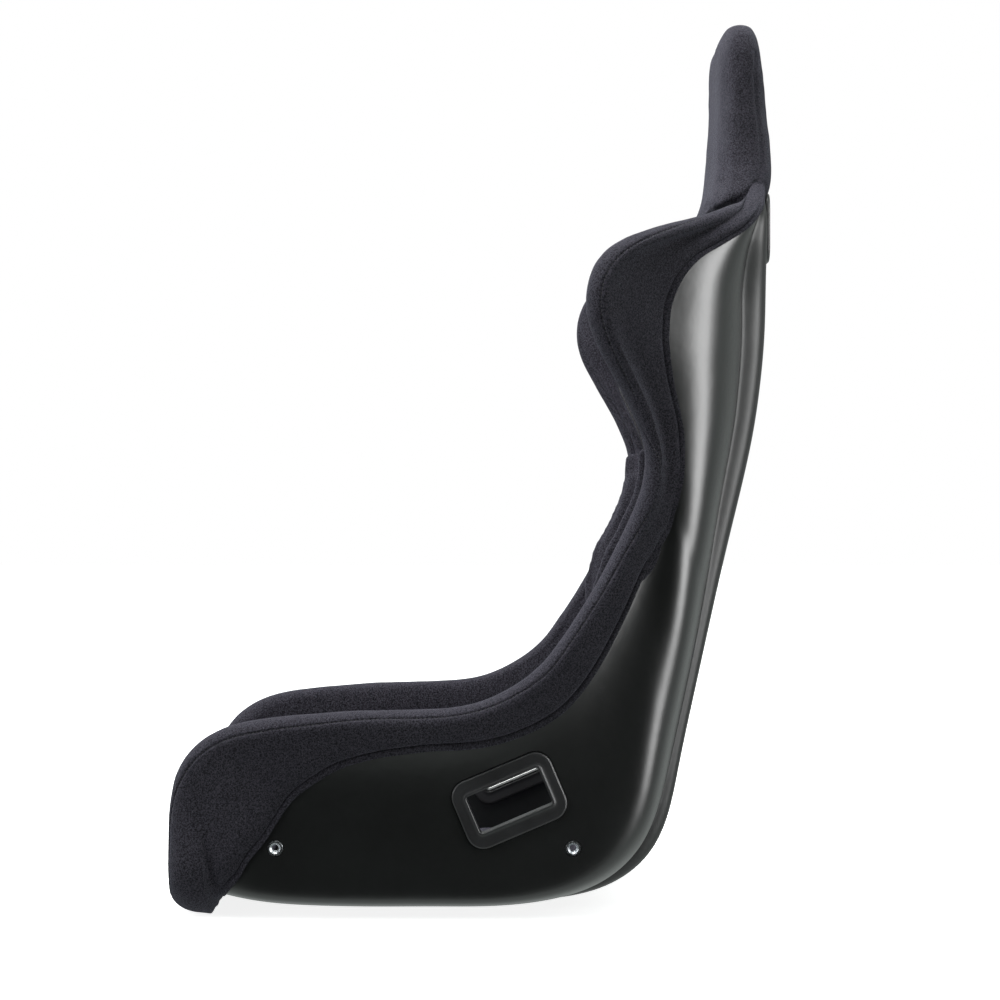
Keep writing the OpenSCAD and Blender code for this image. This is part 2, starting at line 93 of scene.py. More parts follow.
corner = [(0, 22), (7, 22), (8, 26), (9, 34), (10, 46), (11, 60), (12, 70), (14, 74),
          (17, 80), (19, 86), (20, 84), (21, 76), (22, 60), (23, 38), (24, 20), (25, 10),
          (26, 7), (30, 6), (33, 3)]
spine_deep = [(0, 0), (2, 0), (4, 4), (7, 5), (8, 9), (9, 14), (10, 20), (11, 25),
              (18, 24), (21, 27), (22, 24), (23, 20), (24, 13), (25, 4), (26, 0), (33, 0)]
spine_half = [(0, 100), (7, 104), (12, 112), (18, 118), (21, 130), (23, 148), (24, 150),
              (25, 138), (26, 90), (27, 70), (30, 50), (31, 30), (32, 16), (33, 4)]
groove_deep = [(0, 0), (9, 0), (12, 10), (19, 10), (21, 6), (22, 0), (33, 0)]
WALL, SPAN, LAST = 5.0, 14, len(stations) - 1


def lookup(x, table):
    """Value at x of a table of (x, value) pairs."""
    return np.interp(x, *zip(*table))


def soft_lookup(x, table, width=0.3):
    """The same with the kinks between the pairs smoothed away."""
    return sum(k * lookup(np.asarray(x) + width * o, table)
               for o, k in ((-1, .1), (-.5, .2), (0, .4), (.5, .2), (1, .1)))


def mix(a, b, t):
    return a + (b - a) * t


def unit(v):
    return v / np.maximum(np.linalg.norm(v, axis=-1, keepdims=True), 1e-12)


# %% Smooth curves
def spline(p):
    """Control points of a uniform cubic spline that runs close to the points p."""
    q = np.concatenate([2 * p[..., :1, :] - p[..., 1:2, :], p,
                        2 * p[..., -1:, :] - p[..., -2:-1, :]], axis=-2)
    c = q[..., 1:-1, :] - (q[..., :-2, :] - 2 * q[..., 1:-1, :] + q[..., 2:, :]) / 6
    return np.concatenate([2 * c[..., :1, :] - c[..., 1:2, :], c,
                           2 * c[..., -1:, :] - c[..., -2:-1, :]], axis=-2)


def at(c, t):
    """Points of the splines with control points c at t, which counts the given points."""
    i = np.clip(np.floor(t), 0, c.shape[-2] - 4).astype(int)
    f = (t - i)[:, None]
    pick = (lambda k: c[i + k]) if c.ndim == 2 else (lambda k: c[np.arange(len(t)), i + k])
    return ((1 - f) ** 3 * pick(0) + (3 * f ** 3 - 6 * f * f + 4) * pick(1)
            + (-3 * f ** 3 + 3 * f * f + 3 * f + 1) * pick(2) + f ** 3 * pick(3)) / 6


numbers = np.arange(LAST + 1)
rail = spline(np.column_stack([stations] + [lookup(numbers, t) for t in (
    wall_half, rim_half, corner, spine_deep, spine_half, groove_deep)]))
print("stations:", len(stations))


# %% Sections and the skin
def outline(r):
    """Half cross-sections in their own planes: groove, spine panel, step, back, wall."""
    reach = np.hypot(r[:, 2] - r[:, 0], r[:, 3] - r[:, 1])
    w, f, sp, sw, g = r[:, 4], r[:, 5] - r[:, 4], r[:, 7], r[:, 8], r[:, 9]
    cr = np.minimum(r[:, 6], 0.6 * (reach - sp))
    cw, s0 = 0.75 * cr, sp + cr
    xc = w - cw
    xk = np.minimum(sw + 16, (sw + xc) / 2)
    k = np.clip((f - 18) / 24, 0, 1)
    points = [(0 * w, g), (0.35 * sw, g), (0.6 * sw, 0.6 * g), (0.78 * sw, 0 * w),
              (0.92 * sw, 0 * w), (mix(sw, xk, 0.5), 0.2 * sp), (mix(sw, xk, 0.75), 0.8 * sp),
              (xk, sp),
              ((xk + xc) / 2, sp + 0.01 * cr), (xc, sp + 0.06 * cr),
              (w - 0.22 * cw, sp + 0.36 * cr), (w, s0),
              (w + mix(0.02, 0.33, k) * f, mix(s0, reach, 0.35)),
              (w + mix(0.25, 0.7, k) * f, mix(s0, reach, 0.72)), (w + f, reach)]
    return np.stack([np.stack(p, -1) for p in points], -2)


def skin(u, v, d=0.0, want_normal=False):
    """Points at station numbers u, across v, moved outwards by d, in millimetres."""
    u, v, d = np.broadcast_arrays(np.asarray(u, float), v, d)
    shape, u, v, d = u.shape, u.ravel(), v.ravel(), d.ravel()
    r = at(rail, u)
    c = spline(outline(r))
    a = np.maximum(np.abs(v), 0.002)
    t = unit(at(c, np.minimum(1, a + 0.004) * SPAN) - at(c, (a - 0.004) * SPAN))
    n = np.stack([t[:, 1], -t[:, 0]], -1)
    q = at(c, np.abs(v) * SPAN) + d[:, None] * n
    lean = unit(r[:, 2:4] - r[:, 0:2])
    side = np.where(v < 0, -1.0, 1.0)
    if want_normal:
        return np.stack([side * n[:, 0], lean[:, 0] * n[:, 1], lean[:, 1] * n[:, 1]],
                        -1).reshape(shape + (3,))
    return np.stack([side * q[:, 0], r[:, 0] + lean[:, 0] * q[:, 1],
                     r[:, 1] + lean[:, 1] * q[:, 1]], -1).reshape(shape + (3,))


print("rim at the lumbar:", np.round(skin(15.0, 1.0), 1))

# %% [markdown]
# ## From points to meshes
# Blender's grid operator makes a flat sheet of quads. Moving its corners to computed
# places bends the sheet to any swept surface. Welding its two long borders closes it to
# a tube, and the open ends are filled. A UV map in metres goes with it, for patterns
# that follow the cloth.


# %% Mesh helpers
def add_object(name, bm, sharp=None):
    """Makes an object of a bmesh. Edges steeper than sharp degrees stay crisp."""
    mesh = bpy.data.meshes.new(name)
    bm.normal_update()
    for face in bm.faces:
        face.smooth = True
    if sharp is not None:
        for edge in bm.edges:
            edge.smooth = len(edge.link_faces) == 2 and \
                edge.calc_face_angle(0) < math.radians(sharp)
    bm.to_mesh(mesh)
    bm.free()
    obj = bpy.data.objects.new(name, mesh)
    bpy.context.scene.collection.objects.link(obj)
    return obj


def run_along(points):
    """Distance run from the first point of each row of points."""
    step = np.linalg.norm(np.diff(points, axis=-2), axis=-1)
    return np.concatenate([0 * step[..., :1], np.cumsum(step, axis=-1)], axis=-1)


def swept(points):
    """Bmesh of a closed and capped tube through points[row, column], in millimetres.
    The first and last columns are the same line."""
    rows, columns = points.shape[:2]
    u_at = run_along(points.mean(axis=0)) / 1000
    v_at = run_along(points.mean(axis=1)) / 1000
    bm = bmesh.new()
    bmesh.ops.create_grid(bm, x_segments=columns - 1, y_segments=rows - 1, size=0.5)
    bm.verts.ensure_lookup_table()
    place = {}
    for vert in bm.verts:
        j = round((vert.co.x + 0.5) * (columns - 1))
        i = round((vert.co.y + 0.5) * (rows - 1))
        place[vert.index] = (i, j)
        vert.co = points[i, j] / 1000
    uv = bm.loops.layers.uv.new("cloth")
    for face in bm.faces:
        for loop in face.loops:
            i, j = place[loop.vert.index]
            loop[uv].uv = (u_at[j], v_at[i])
    bmesh.ops.remove_doubles(bm, verts=bm.verts, dist=1e-6)
    bmesh.ops.holes_fill(bm, edges=[e for e in bm.edges if e.is_boundary], sides=0)
    bmesh.ops.triangulate(bm, faces=[f for f in bm.faces if len(f.verts) > 4])
    bmesh.ops.recalc_face_normals(bm, faces=bm.faces)
    return bm


def tube(name, *sheets):
    """Object of sheets of points that together go once round it."""
    return add_object(name, swept(np.concatenate([*sheets, sheets[0][:, :1]], axis=1)))


def count(obj):
    print(obj.name, "faces:", len(obj.data.polygons))
    return obj


# %% [markdown]
# ## Finishes
# Every finish is a Principled shader fed by procedural nodes. What several finishes
# share, fine grain and handling wear, is a node group that is built once. Its inputs
# set how large and how strong it is in each material. The wear lightens convex rims,
# and on the moulded plastic that lighter rim is also a painted rim highlight. The shader
# itself stays outside the groups.


# %% Node helpers
def new_group(name, inputs, outputs):
    group = bpy.data.node_groups.new(name, "ShaderNodeTree")
    for kind, names in (("INPUT", inputs), ("OUTPUT", outputs)):
        for socket, form, value in names:
            made = group.interface.new_socket(socket, in_out=kind, socket_type=form)
            if value is not None:
                made.default_value = value
    return group, Nodes(group)


class Nodes:
    """Adds nodes to a tree: each call sets properties and values and links inputs."""

    def __init__(self, tree):
        self.tree = tree

    def add(self, kind, inputs=None, **settings):
        node = self.tree.nodes.new(kind)
        for key, value in settings.items():
            setattr(node, key, value)
        for key, value in (inputs or {}).items():
            if isinstance(value, bpy.types.NodeSocket):
                self.tree.links.new(value, node.inputs[key])
            else:
                node.inputs[key].default_value = value
        return node

    def math(self, operation, a, b=0.0, clamp=False):
        return self.add("ShaderNodeMath", {0: a, 1: b}, operation=operation,
                        use_clamp=clamp).outputs[0]

    def ramp(self, value, low, high, to_low=0.0, to_high=1.0):
        return self.add("ShaderNodeMapRange", {0: value, 1: low, 2: high, 3: to_low,
                                               4: to_high}).outputs[0]

    def blend(self, factor, a, b):
        node = self.add("ShaderNodeMix", data_type="RGBA")
        for socket, value in zip((node.inputs[0], node.inputs[6], node.inputs[7]),
                                 (factor, a, b)):
            if isinstance(value, bpy.types.NodeSocket):
                self.tree.links.new(value, socket)
            else:
                socket.default_value = value
        return node.outputs[2]

    def where(self, output="Object"):
        return self.add("ShaderNodeTexCoord").outputs[output]

    def noise(self, vector, scale, detail=2.0, rough=0.5):
        return self.add("ShaderNodeTexNoise", {"Vector": vector, "Scale": scale,
                        "Detail": detail, "Roughness": rough}).outputs["Fac"]


# %% Shared groups: grain, and wear that also paints a rim highlight
FLOAT, COLOUR = "NodeSocketFloat", "NodeSocketColor"
grain_group, g = new_group(
    "grain", [("Vector", "NodeSocketVector", None), ("Scale", FLOAT, 900.0),
              ("Contrast", FLOAT, 1.0)],
    [("Grain", FLOAT, None), ("Patches", FLOAT, None)])
enter, leave = g.add("NodeGroupInput"), g.add("NodeGroupOutput")
fine = g.noise(enter.outputs["Vector"], enter.outputs["Scale"], 3.0, 0.7)
half = g.math("MULTIPLY", g.math("SUBTRACT", fine, 0.5), enter.outputs["Contrast"])
g.tree.links.new(g.math("ADD", half, 0.5, clamp=True), leave.inputs["Grain"])
broad = g.noise(enter.outputs["Vector"], 14.0, 4.0, 0.55)
g.tree.links.new(g.ramp(broad, 0.35, 0.65), leave.inputs["Patches"])

# Edge lightens convex rims: handling wear, and on the plastic also a painted rim highlight.
# Dust is lint.
wear_and_rim_light_group, g = new_group(
    "wear_and_rim_light", [("Vector", "NodeSocketVector", None), ("Amount", FLOAT, 0.5)],
    [("Edge", FLOAT, None), ("Dust", FLOAT, None)])
enter, leave = g.add("NodeGroupInput"), g.add("NodeGroupOutput")
point = g.add("ShaderNodeNewGeometry").outputs["Pointiness"]
patchy = g.noise(enter.outputs["Vector"], 60.0, 4.0, 0.6)
edge = g.math("MULTIPLY", g.ramp(point, 0.52, 0.6), g.ramp(patchy, 0.42, 0.62))
g.tree.links.new(g.math("MULTIPLY", edge, enter.outputs["Amount"], clamp=True),
                 leave.inputs["Edge"])
lint = g.noise(enter.outputs["Vector"], 240.0, 2.0, 0.8)
g.tree.links.new(g.math("MULTIPLY", g.ramp(lint, 0.66, 0.72), enter.outputs["Amount"]),
                 leave.inputs["Dust"])
print("groups:", grain_group.name, wear_and_rim_light_group.name)


# %% A material starts like this
def new_material(name, colour, **values):
    """A material with its shader's constant values set; returns it, nodes and shader."""
    material = bpy.data.materials.new(name)
    material.use_nodes = True
    material.node_tree.nodes.clear()
    n = Nodes(material.node_tree)
    shader = n.add("ShaderNodeBsdfPrincipled", dict({"Base Color": (*colour, 1)}, **values))
    end = n.add("ShaderNodeOutputMaterial")
    n.tree.links.new(shader.outputs[0], end.inputs["Surface"])
    return material, n, shader


def shared(n, group, vector, **values):
    node = n.add("ShaderNodeGroup", node_tree=group)
    n.tree.links.new(vector, node.inputs["Vector"])
    for key, value in values.items():
        node.inputs[key].default_value = value
    return node.outputs


def tone_with_wear_and_rim_light(n, here, scale, contrast, wear_and_rim_light, tones, bare_and_rim_lit, mask="Edge"):
    """Grain, and two tones in patches showing a third where rubbed; on convex rims the third
    is partly painted rim highlight.
    """
    grain = shared(n, grain_group, here, Scale=scale, Contrast=contrast)
    wear_and_rim_light_masks = shared(n, wear_and_rim_light_group, here, Amount=wear_and_rim_light)
    tone = n.blend(grain["Patches"], *[(*rgb, 1) for rgb in tones])
    return grain["Grain"], n.blend(wear_and_rim_light_masks[mask], tone, (*bare_and_rim_lit, 1))


def feed(n, shader, colour=None, rough=None, height=None, distance=0.001, strength=0.5):
    for socket, name in ((colour, "Base Color"), (rough, "Roughness")):
        if socket is not None:
            n.tree.links.new(socket, shader.inputs[name])
    if height is not None:
        bump = n.add("ShaderNodeBump", {"Height": height, "Distance": distance,
                                        "Strength": strength})
        n.tree.links.new(bump.outputs[0], shader.inputs["Normal"])


# %% [markdown]
# Velour is a short cut pile. It looks almost black where one looks into the pile and
# grey where it is seen at a slant, and single fibres sparkle. Sheen on the shader gives
# the slanted glow, and broad noise the areas where the pile has been brushed another way.
# Fine noise gives the speckle, whose bright end is partly fibre tone and partly painted
# sheen, and bright dots of finer noise are painted glints of the single fibres.

# %% Velour
velour, n, shader = new_material(
    "velour", (0.02, 0.02, 0.024), **{"Sheen Weight": 0.24, "Sheen Roughness": 0.4,
                                      "Sheen Tint": (0.55, 0.55, 0.68, 1),
                                      "Specular IOR Level": 0.1})
here = n.where()
grain = shared(n, grain_group, here, Scale=640.0, Contrast=4.5)
pile = shared(n, grain_group, here, Scale=1500.0, Contrast=2.6)
# The speckle runs from dark fibre tone to a bright end that is partly painted sheen.
cloth = n.blend(grain["Grain"], (0.003, 0.0027, 0.0045, 1), (0.050, 0.047, 0.060, 1))
cloth = n.blend(n.ramp(grain["Patches"], 0, 1, 0, 0.2), cloth, (0.028, 0.026, 0.034, 1))
# Bright dots of the finer noise are painted glints of single fibres: a painted highlight in
# the colour.
painted_fibre_glints = n.ramp(pile["Grain"], 0.8, 0.95, 0, 0.6)
cloth = n.blend(painted_fibre_glints, cloth, (0.2, 0.19, 0.235, 1))
height = n.math("ADD", grain["Grain"], pile["Grain"])
feed(n, shader, cloth, n.ramp(grain["Patches"], 0, 1, 0.86, 0.98), height, 0.0006, 0.55)
print("made", velour.name)

# %% [markdown]
# Gelcoat is the glossy skin of the laminate. It comes from a waxed mould, so it mirrors
# its surroundings, but a hand-laid wall is never quite flat: reflections wobble a
# little, which a very low bump of noise does. The panel down the spine is satin. Its
# mask reads the shell's own UV map, whose X is the distance round the section in
# metres, and where it is set the coat fades and the surface turns rougher.

# %% Gelcoat
gelcoat, n, shader = new_material(
    "gelcoat", (0.010, 0.011, 0.012), **{"Specular IOR Level": 0.5, "Coat Roughness": 0.27,
                                         "Coat Weight": 0.5})
KEEL_UV, SPINE_EDGE, SPINE_INSIDE = 0.27, 0.122, 0.119
here = n.where()
fine, dark = tone_with_wear_and_rim_light(n, here, 420.0, 1.4, 0.12, ((0.004, 0.0045, 0.0045),
                                                   (0.0065, 0.0075, 0.0075)),
                       (0.09, 0.092, 0.09))
wobble = n.math("ADD", n.noise(here, 55.0, 2.0, 0.5),
                n.math("MULTIPLY", n.noise(here, 300.0, 1.0, 0.5), 0.06))
across = n.add("ShaderNodeSeparateXYZ", {0: n.where("UV")}).outputs["X"]
from_keel = n.math("ABSOLUTE", n.math("SUBTRACT", across, KEEL_UV))
satin = n.ramp(from_keel, SPINE_EDGE, SPINE_INSIDE)
rough = n.math("ADD", n.ramp(fine, 0, 1, 0.3, 0.4), n.math("MULTIPLY", satin, 0.15))
n.tree.links.new(n.ramp(satin, 0, 1, 0.5, 0.06), shader.inputs["Coat Weight"])
feed(n, shader, dark, rough, wobble, 0.0016, 0.25)
print("made", gelcoat.name)

# %% Moulded plastic, steel and thread
plastic, n, shader = new_material("moulded_black", (0.02, 0.02, 0.021),
                                  **{"Specular IOR Level": 0.5})
# The lighter colour on the bezels' convex rims is partly handling wear and partly a painted
# rim highlight.
fine, tone = tone_with_wear_and_rim_light(n, n.where(), 1600.0, 1.6, 0.5, ((0.014, 0.014, 0.015),
                                                        (0.026, 0.026, 0.028)),
                       (0.11, 0.11, 0.115))
feed(n, shader, tone, n.ramp(fine, 0, 1, 0.27, 0.42), fine, 0.0003, 0.3)

steel, n, shader = new_material("zinc_steel", (0.62, 0.64, 0.66), Metallic=1.0)
fine, tone = tone_with_wear_and_rim_light(n, n.where(), 1300.0, 1.8, 0.6, ((0.50, 0.53, 0.56),
                                                        (0.72, 0.73, 0.72)),
                       (0.3, 0.29, 0.27), mask="Dust")
feed(n, shader, tone, n.ramp(fine, 0, 1, 0.16, 0.36), fine, 0.0002, 0.35)

thread, n, shader = new_material("thread", (0.012, 0.012, 0.015),
                                 **{"Sheen Weight": 0.2, "Sheen Roughness": 0.5})
twist = n.add("ShaderNodeTexWave", {"Vector": n.where(), "Scale": 420.0, "Distortion": 2.0})
feed(n, shader, n.blend(twist.outputs["Fac"], (0.006, 0.006, 0.008, 1),
                        (0.03, 0.03, 0.036, 1)), None, twist.outputs["Fac"], 0.0003, 0.5)
print("made", plastic.name, steel.name, thread.name)

# %% [markdown]
# Hook tape is a field of tiny stiff loops in rows, and spacer mesh is a knitted sheet
# with rows of open cells, painted near black as painted shade in the openings. Both
# patterns repeat, so they are made from a Voronoi texture: its cell distance is the hole,
# and the ridge between cells the yarn.

# %% Tape and mesh
tape, n, shader = new_material("hook_tape", (0.02, 0.02, 0.022),
                               **{"Sheen Weight": 0.25, "Sheen Roughness": 0.4})
here = n.where()
loops = n.add("ShaderNodeTexVoronoi", {"Vector": here, "Scale": 700.0, "Randomness": 0.5})
grain = shared(n, grain_group, here, Scale=1500.0, Contrast=2.0)
knots = n.ramp(loops.outputs["Distance"], 0.1, 0.6, 1.0, 0.0)
feed(n, shader, n.blend(knots, (0.008, 0.008, 0.009, 1), (0.05, 0.05, 0.054, 1)),
     n.ramp(grain["Grain"], 0, 1, 0.6, 0.85), knots, 0.0008, 0.8)

mesh_cloth, n, shader = new_material(
    "spacer_mesh", (0.03, 0.03, 0.034), **{"Sheen Weight": 0.3, "Sheen Roughness": 0.35,
                                           "Sheen Tint": (0.85, 0.85, 0.9, 1)})
weave_at = n.add("ShaderNodeMapping", {"Vector": n.where("UV"), "Scale": (1.0, 0.72, 1.0)})
cells = n.add("ShaderNodeTexVoronoi", {"Vector": weave_at.outputs[0], "Scale": 260.0,
                                       "Randomness": 0.12})
yarn = n.ramp(cells.outputs["Distance"], 0.22, 0.48)
grain = shared(n, grain_group, n.where(), Scale=1800.0, Contrast=2.0)
# The open cells are painted near black: painted shade in the openings.
yarn_with_shaded_cells = n.blend(yarn, (0.004, 0.004, 0.005, 1), (0.085, 0.085, 0.095, 1))
yarn_with_shaded_cells = n.blend(n.math("MULTIPLY", grain["Grain"], 0.45), yarn_with_shaded_cells, (0.03, 0.03, 0.034, 1))
feed(n, shader, yarn_with_shaded_cells, n.ramp(grain["Grain"], 0, 1, 0.55, 0.8), yarn, 0.0015, 0.9)
print("made", tape.name, mesh_cloth.name)


# %% [markdown]
# A piece is finished the same way each time: it gets its material, rides on its body,
# and hides the CAD nodes it stands for.

# %% Finishing a piece
def finished(obj, material, slot, body, *nodes):
    obj.data.materials.clear()
    obj.data.materials.append(material)
    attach(obj, body)
    if nodes:
        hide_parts(*nodes)
    return count(obj)


# %% [markdown]
# ## The shell
# The bucket is one laminate, so it is one swept tube: the outer face from rim to rim,
# then the inner face back again, five millimetres further in. The belt slots and the
# bush holes are cut with booleans, because their edges run across the sweep.

# %% Shell body
shell_rows = np.linspace(0, LAST, 250)[:, None]
half_v = np.linspace(0, 1, 81)
shell_v = np.concatenate([-half_v[:0:-1], half_v])
shell_obj = tube("bucket_shell", skin(shell_rows, shell_v[None], 0.0),
                 skin(shell_rows, shell_v[None, ::-1], -WALL))
count(shell_obj)

# %% [markdown]
# A cutter is a rounded block. It starts as a single face whose corners are bevelled,
# and an extrusion gives it depth.

# %% Rounded blocks and cuts
# Belt openings and their places: lap (y, z), shoulder (x, z) and crotch (y)
SLOT_L, SLOT_W, FLANGE = 76, 38, 14
LAP, LAP_TILT, SHOULDER, CROTCH_Y = (40, 118), 23, (71, 684), -90
MOUNT_X, MOUNT_Z, MOUNT_Y = 200.6, 71, (-188, 102)
BUSH_HOLE_R = 8.1
# Outer faces of the laminate at the slots
LAP_SEAT, BACK_FACE, PAN_FACE = 200.4, 296, 6


def rounded_block(length, width, radius, low, high):
    """Bmesh of a block with rounded upright corners, in metres."""
    bm = bmesh.new()
    bmesh.ops.create_grid(bm, x_segments=1, y_segments=1, size=0.5)
    bmesh.ops.transform(bm, verts=bm.verts, matrix=Matrix.Diagonal(
        (length / 1000, width / 1000, 1, 1)) @ Matrix.Translation((0, 0, low / 1000)))
    bmesh.ops.bevel(bm, geom=bm.verts[:], offset=radius / 1000, segments=6, profile=0.5,
                    affect="VERTICES", material=-1)
    top = bmesh.ops.extrude_face_region(bm, geom=bm.faces[:])
    bmesh.ops.translate(bm, vec=(0, 0, (high - low) / 1000),
                        verts=[v for v in top["geom"] if isinstance(v, bmesh.types.BMVert)])
    bmesh.ops.recalc_face_normals(bm, faces=bm.faces)
    return bm


def turned(axes, origin):
    """Matrix whose columns are the given axes and origin (millimetres)."""
    m = Matrix([list(a) for a in axes]).transposed().to_4x4()
    m.translation = Vector(origin) / 1000
    return m


def lap_matrix(side, x):
    tilt = math.radians(LAP_TILT)
    along = Vector((0, math.cos(tilt), math.sin(tilt)))
    up = Vector((0, -math.sin(tilt), math.cos(tilt)))
    return turned((along, up, Vector((side, 0, 0))), (side * x, LAP[0], LAP[1]))


def shoulder_matrix(side, y):
    return turned(((1, 0, 0), (0, 0, -1), (0, 1, 0)), (side * SHOULDER[0], y, SHOULDER[1]))


def crotch_matrix(z):
    return turned(((1, 0, 0), (0, -1, 0), (0, 0, -1)), (0, CROTCH_Y, z))


def apply_modifiers(obj):
    """Keeps the shape that an object's modifiers give as its plain mesh."""
    graph = bpy.context.evaluated_depsgraph_get()
    mesh = bpy.data.meshes.new_from_object(obj.evaluated_get(graph))
    obj.modifiers.clear()
    old, obj.data = obj.data, mesh
    bpy.data.meshes.remove(old)


def cut(obj, tools):
    """Cuts the tools away from obj, one at a time, and removes them."""
    for tool in tools:
        modifier = obj.modifiers.new("cut", "BOOLEAN")
        modifier.object = tool
        modifier.solver = "EXACT"
        apply_modifiers(obj)
        bpy.data.objects.remove(tool)


def cutter(bm, matrix):
    bmesh.ops.transform(bm, verts=bm.verts, matrix=matrix)
    bmesh.ops.recalc_face_normals(bm, faces=bm.faces)
    return add_object("cutter", bm)


def slot_block(depth):
    return rounded_block(SLOT_L + 8.6, SLOT_W + 8.6, 7, -depth, depth)


# %% Cut the belt slots and the bush holes
cutters = [cutter(slot_block(12), crotch_matrix(PAN_FACE))]
for side in (-1, 1):
    cutters.append(cutter(slot_block(20), lap_matrix(side, LAP_SEAT)))
    cutters.append(cutter(rounded_block(SLOT_L + 2 * FLANGE + 2, SLOT_W + 2 * FLANGE + 6, 18,
                                        0, 12), lap_matrix(side, LAP_SEAT)))
    cutters.append(cutter(slot_block(20), shoulder_matrix(side, BACK_FACE)))
    for y in MOUNT_Y:
        hole = bmesh.new()
        bmesh.ops.create_cone(hole, cap_ends=True, segments=40, depth=0.06,
                              radius1=BUSH_HOLE_R / 1000, radius2=BUSH_HOLE_R / 1000)
        bmesh.ops.transform(hole, verts=hole.verts, matrix=Matrix.Translation(
            (side * MOUNT_X / 1000, y / 1000, MOUNT_Z / 1000)) @ Matrix.Rotation(
                math.radians(90), 4, "Y"))
        cutters.append(add_object("cutter", hole))
cut(shell_obj, cutters)


def crisp(obj, degrees):
    """Marks the steep edges of a mesh sharp and smooths the rest."""
    bm = bmesh.new()
    bm.from_mesh(obj.data)
    for face in bm.faces:
        face.smooth = True
    for edge in bm.edges:
        edge.smooth = edge.calc_face_angle(0) < math.radians(degrees)
    bm.to_mesh(obj.data)
    bm.free()


crisp(shell_obj, 42)
finished(shell_obj, gelcoat, "gelcoat", SHELL, "shell")

# %% [markdown]
# ## The padded roll over the rim
# The edge of the laminate is sharp, so a foam roll runs over it all the way: over the
# front edge, along both thigh sides, up round the shoulder wings and in towards the
# head. One cover is pulled over the foam and glued down inside and outside. Its outer
# border is folded to a hem.
#
# The roll is swept along the edge. The edge counts from 0 at the middle of the front to
# 1 at the front corner, and on along the rim as station number + 1. At each count a row
# runs from the hem over the roll to the inside.

# %% Tables of the roll
# Clear of the laminate inside, full width inside, inner rounding; cloth on the hem, hem
# width and its seam; points of a row outside, over the top and inside
HUG, ROLL_IN, FADE = 1.6, 20.0, 9.0
CLOTH, HEM, HEM_SEAM = 2.4, 7, 7.2
N_TAIL, N_ARC, N_IN = 120, 60, 40
TOP = N_TAIL + N_ARC // 2
# Each table gives a value at a count along the edge: the hem (tail) and the inner border
# as station and place across, then how far the roll stands beyond, outside and inside
tail_u = [(0, .8), (.6, .8), (.8, .9), (.9, 1.05), (1, 1.25), (2, 2.1), (3, 2.8), (4, 3.5),
          (5, 4.4), (6, 5.2), (7, 6)]
tail_v = [(0, 0), (.6, .5), (.8, .62), (.9, .68), (1, .73), (2, .815), (3, .85), (4, .9),
          (5, .937), (6, .953), (7, .961), (9, .95), (11, .939), (13, .925), (14, .92),
          (15, .885), (16, .812), (17, .78), (18, .77), (19, .778), (21, .778), (23, .755),
          (24, .725), (25, .68), (26, .62), (27.5, .6)]
inner_u = [(0, 1.9), (.6, 1.9), (.8, 1.75), (.9, 1.6), (1, 1.45), (2, 1.7), (3, 2.3),
           (4, 3.1), (5, 4)]
inner_v = [(0, 0), (.6, .56), (.8, .73), (.9, .81), (1, .88), (2, .905), (3, .92),
           (4, .93), (7, .936), (9, .937), (11, .922), (13, .887), (15, .84), (16, .87),
           (17, .915), (18.5, .93), (19.5, .91), (20.5, .85), (21.5, .765), (24, .72),
           (25, .73), (26, .82)]
roll_up = [(0, 43), (.6, 39), (.8, 35), (1, 29), (2, 22), (3, 18), (4, 15), (5, 13),
           (12, 12), (16, 10), (25.4, 9), (26.9, 1)]
roll_out = [(0, 24), (.6, 24.2), (.64, 24.6), (.69, 29), (.73, 31), (.8, 27), (.9, 19),
            (1, 14.5), (1.6, 11), (3, 8), (5, 6), (25, 6), (26.9, .5)]
roll_inside = [(0, 20), (20, 20), (23, 14), (25, 9), (26, 8)]
# Distance of the sewn seam from the top of the roll, outwards, and how deep it is sewn
seam_far = [(0, 6), (.7, 7), (.9, 7), (1, 10), (1.5, 14), (2.5, 17), (4, 17), (6, 11),
            (8, 11), (10, 15), (12, 13), (13.5, 14), (14.6, 18), (15.3, 22), (15.9, 23),
            (16.4, 19), (17, 8), (17.4, 2), (18, 11.5), (19, 11.5), (21, 11.5), (22.5, 11),
            (23.5, 8), (24.5, 4), (26, 4)]
seam_deep = [(0, 1), (16.8, 1), (17.3, .3), (17.5, 0), (17.9, 0), (18.3, .9), (23, 1),
             (24, .5), (24.6, 0), (26, 0)]
# How deep the hem is stitched down
hem_deep = [(0, 1), (13.6, 1), (14.4, 0), (17, 0), (17.8, 1), (24.5, 1), (25.4, .4),
            (26, .4)]
ROLL_END = 27.1
print("the roll runs to count", ROLL_END, "on both sides")


# %% Rows across the roll
def edge_frame(e):
    """Edge points with the directions out of the wall and beyond the edge."""
    def edge(x):
        return skin(np.maximum(0, np.abs(x) - 1), np.sign(x) * np.minimum(1, np.abs(x)))
    tangent = unit(sum(edge(e + s) - edge(e - s) for s in (0.03, 0.08, 0.13)))
    normal = skin(np.maximum(0, np.abs(e) - 1), np.sign(e) * np.minimum(1, np.abs(e)),
                  want_normal=True)
    beyond = unit(np.cross(normal, tangent))
    return edge(e), np.cross(tangent, beyond), beyond


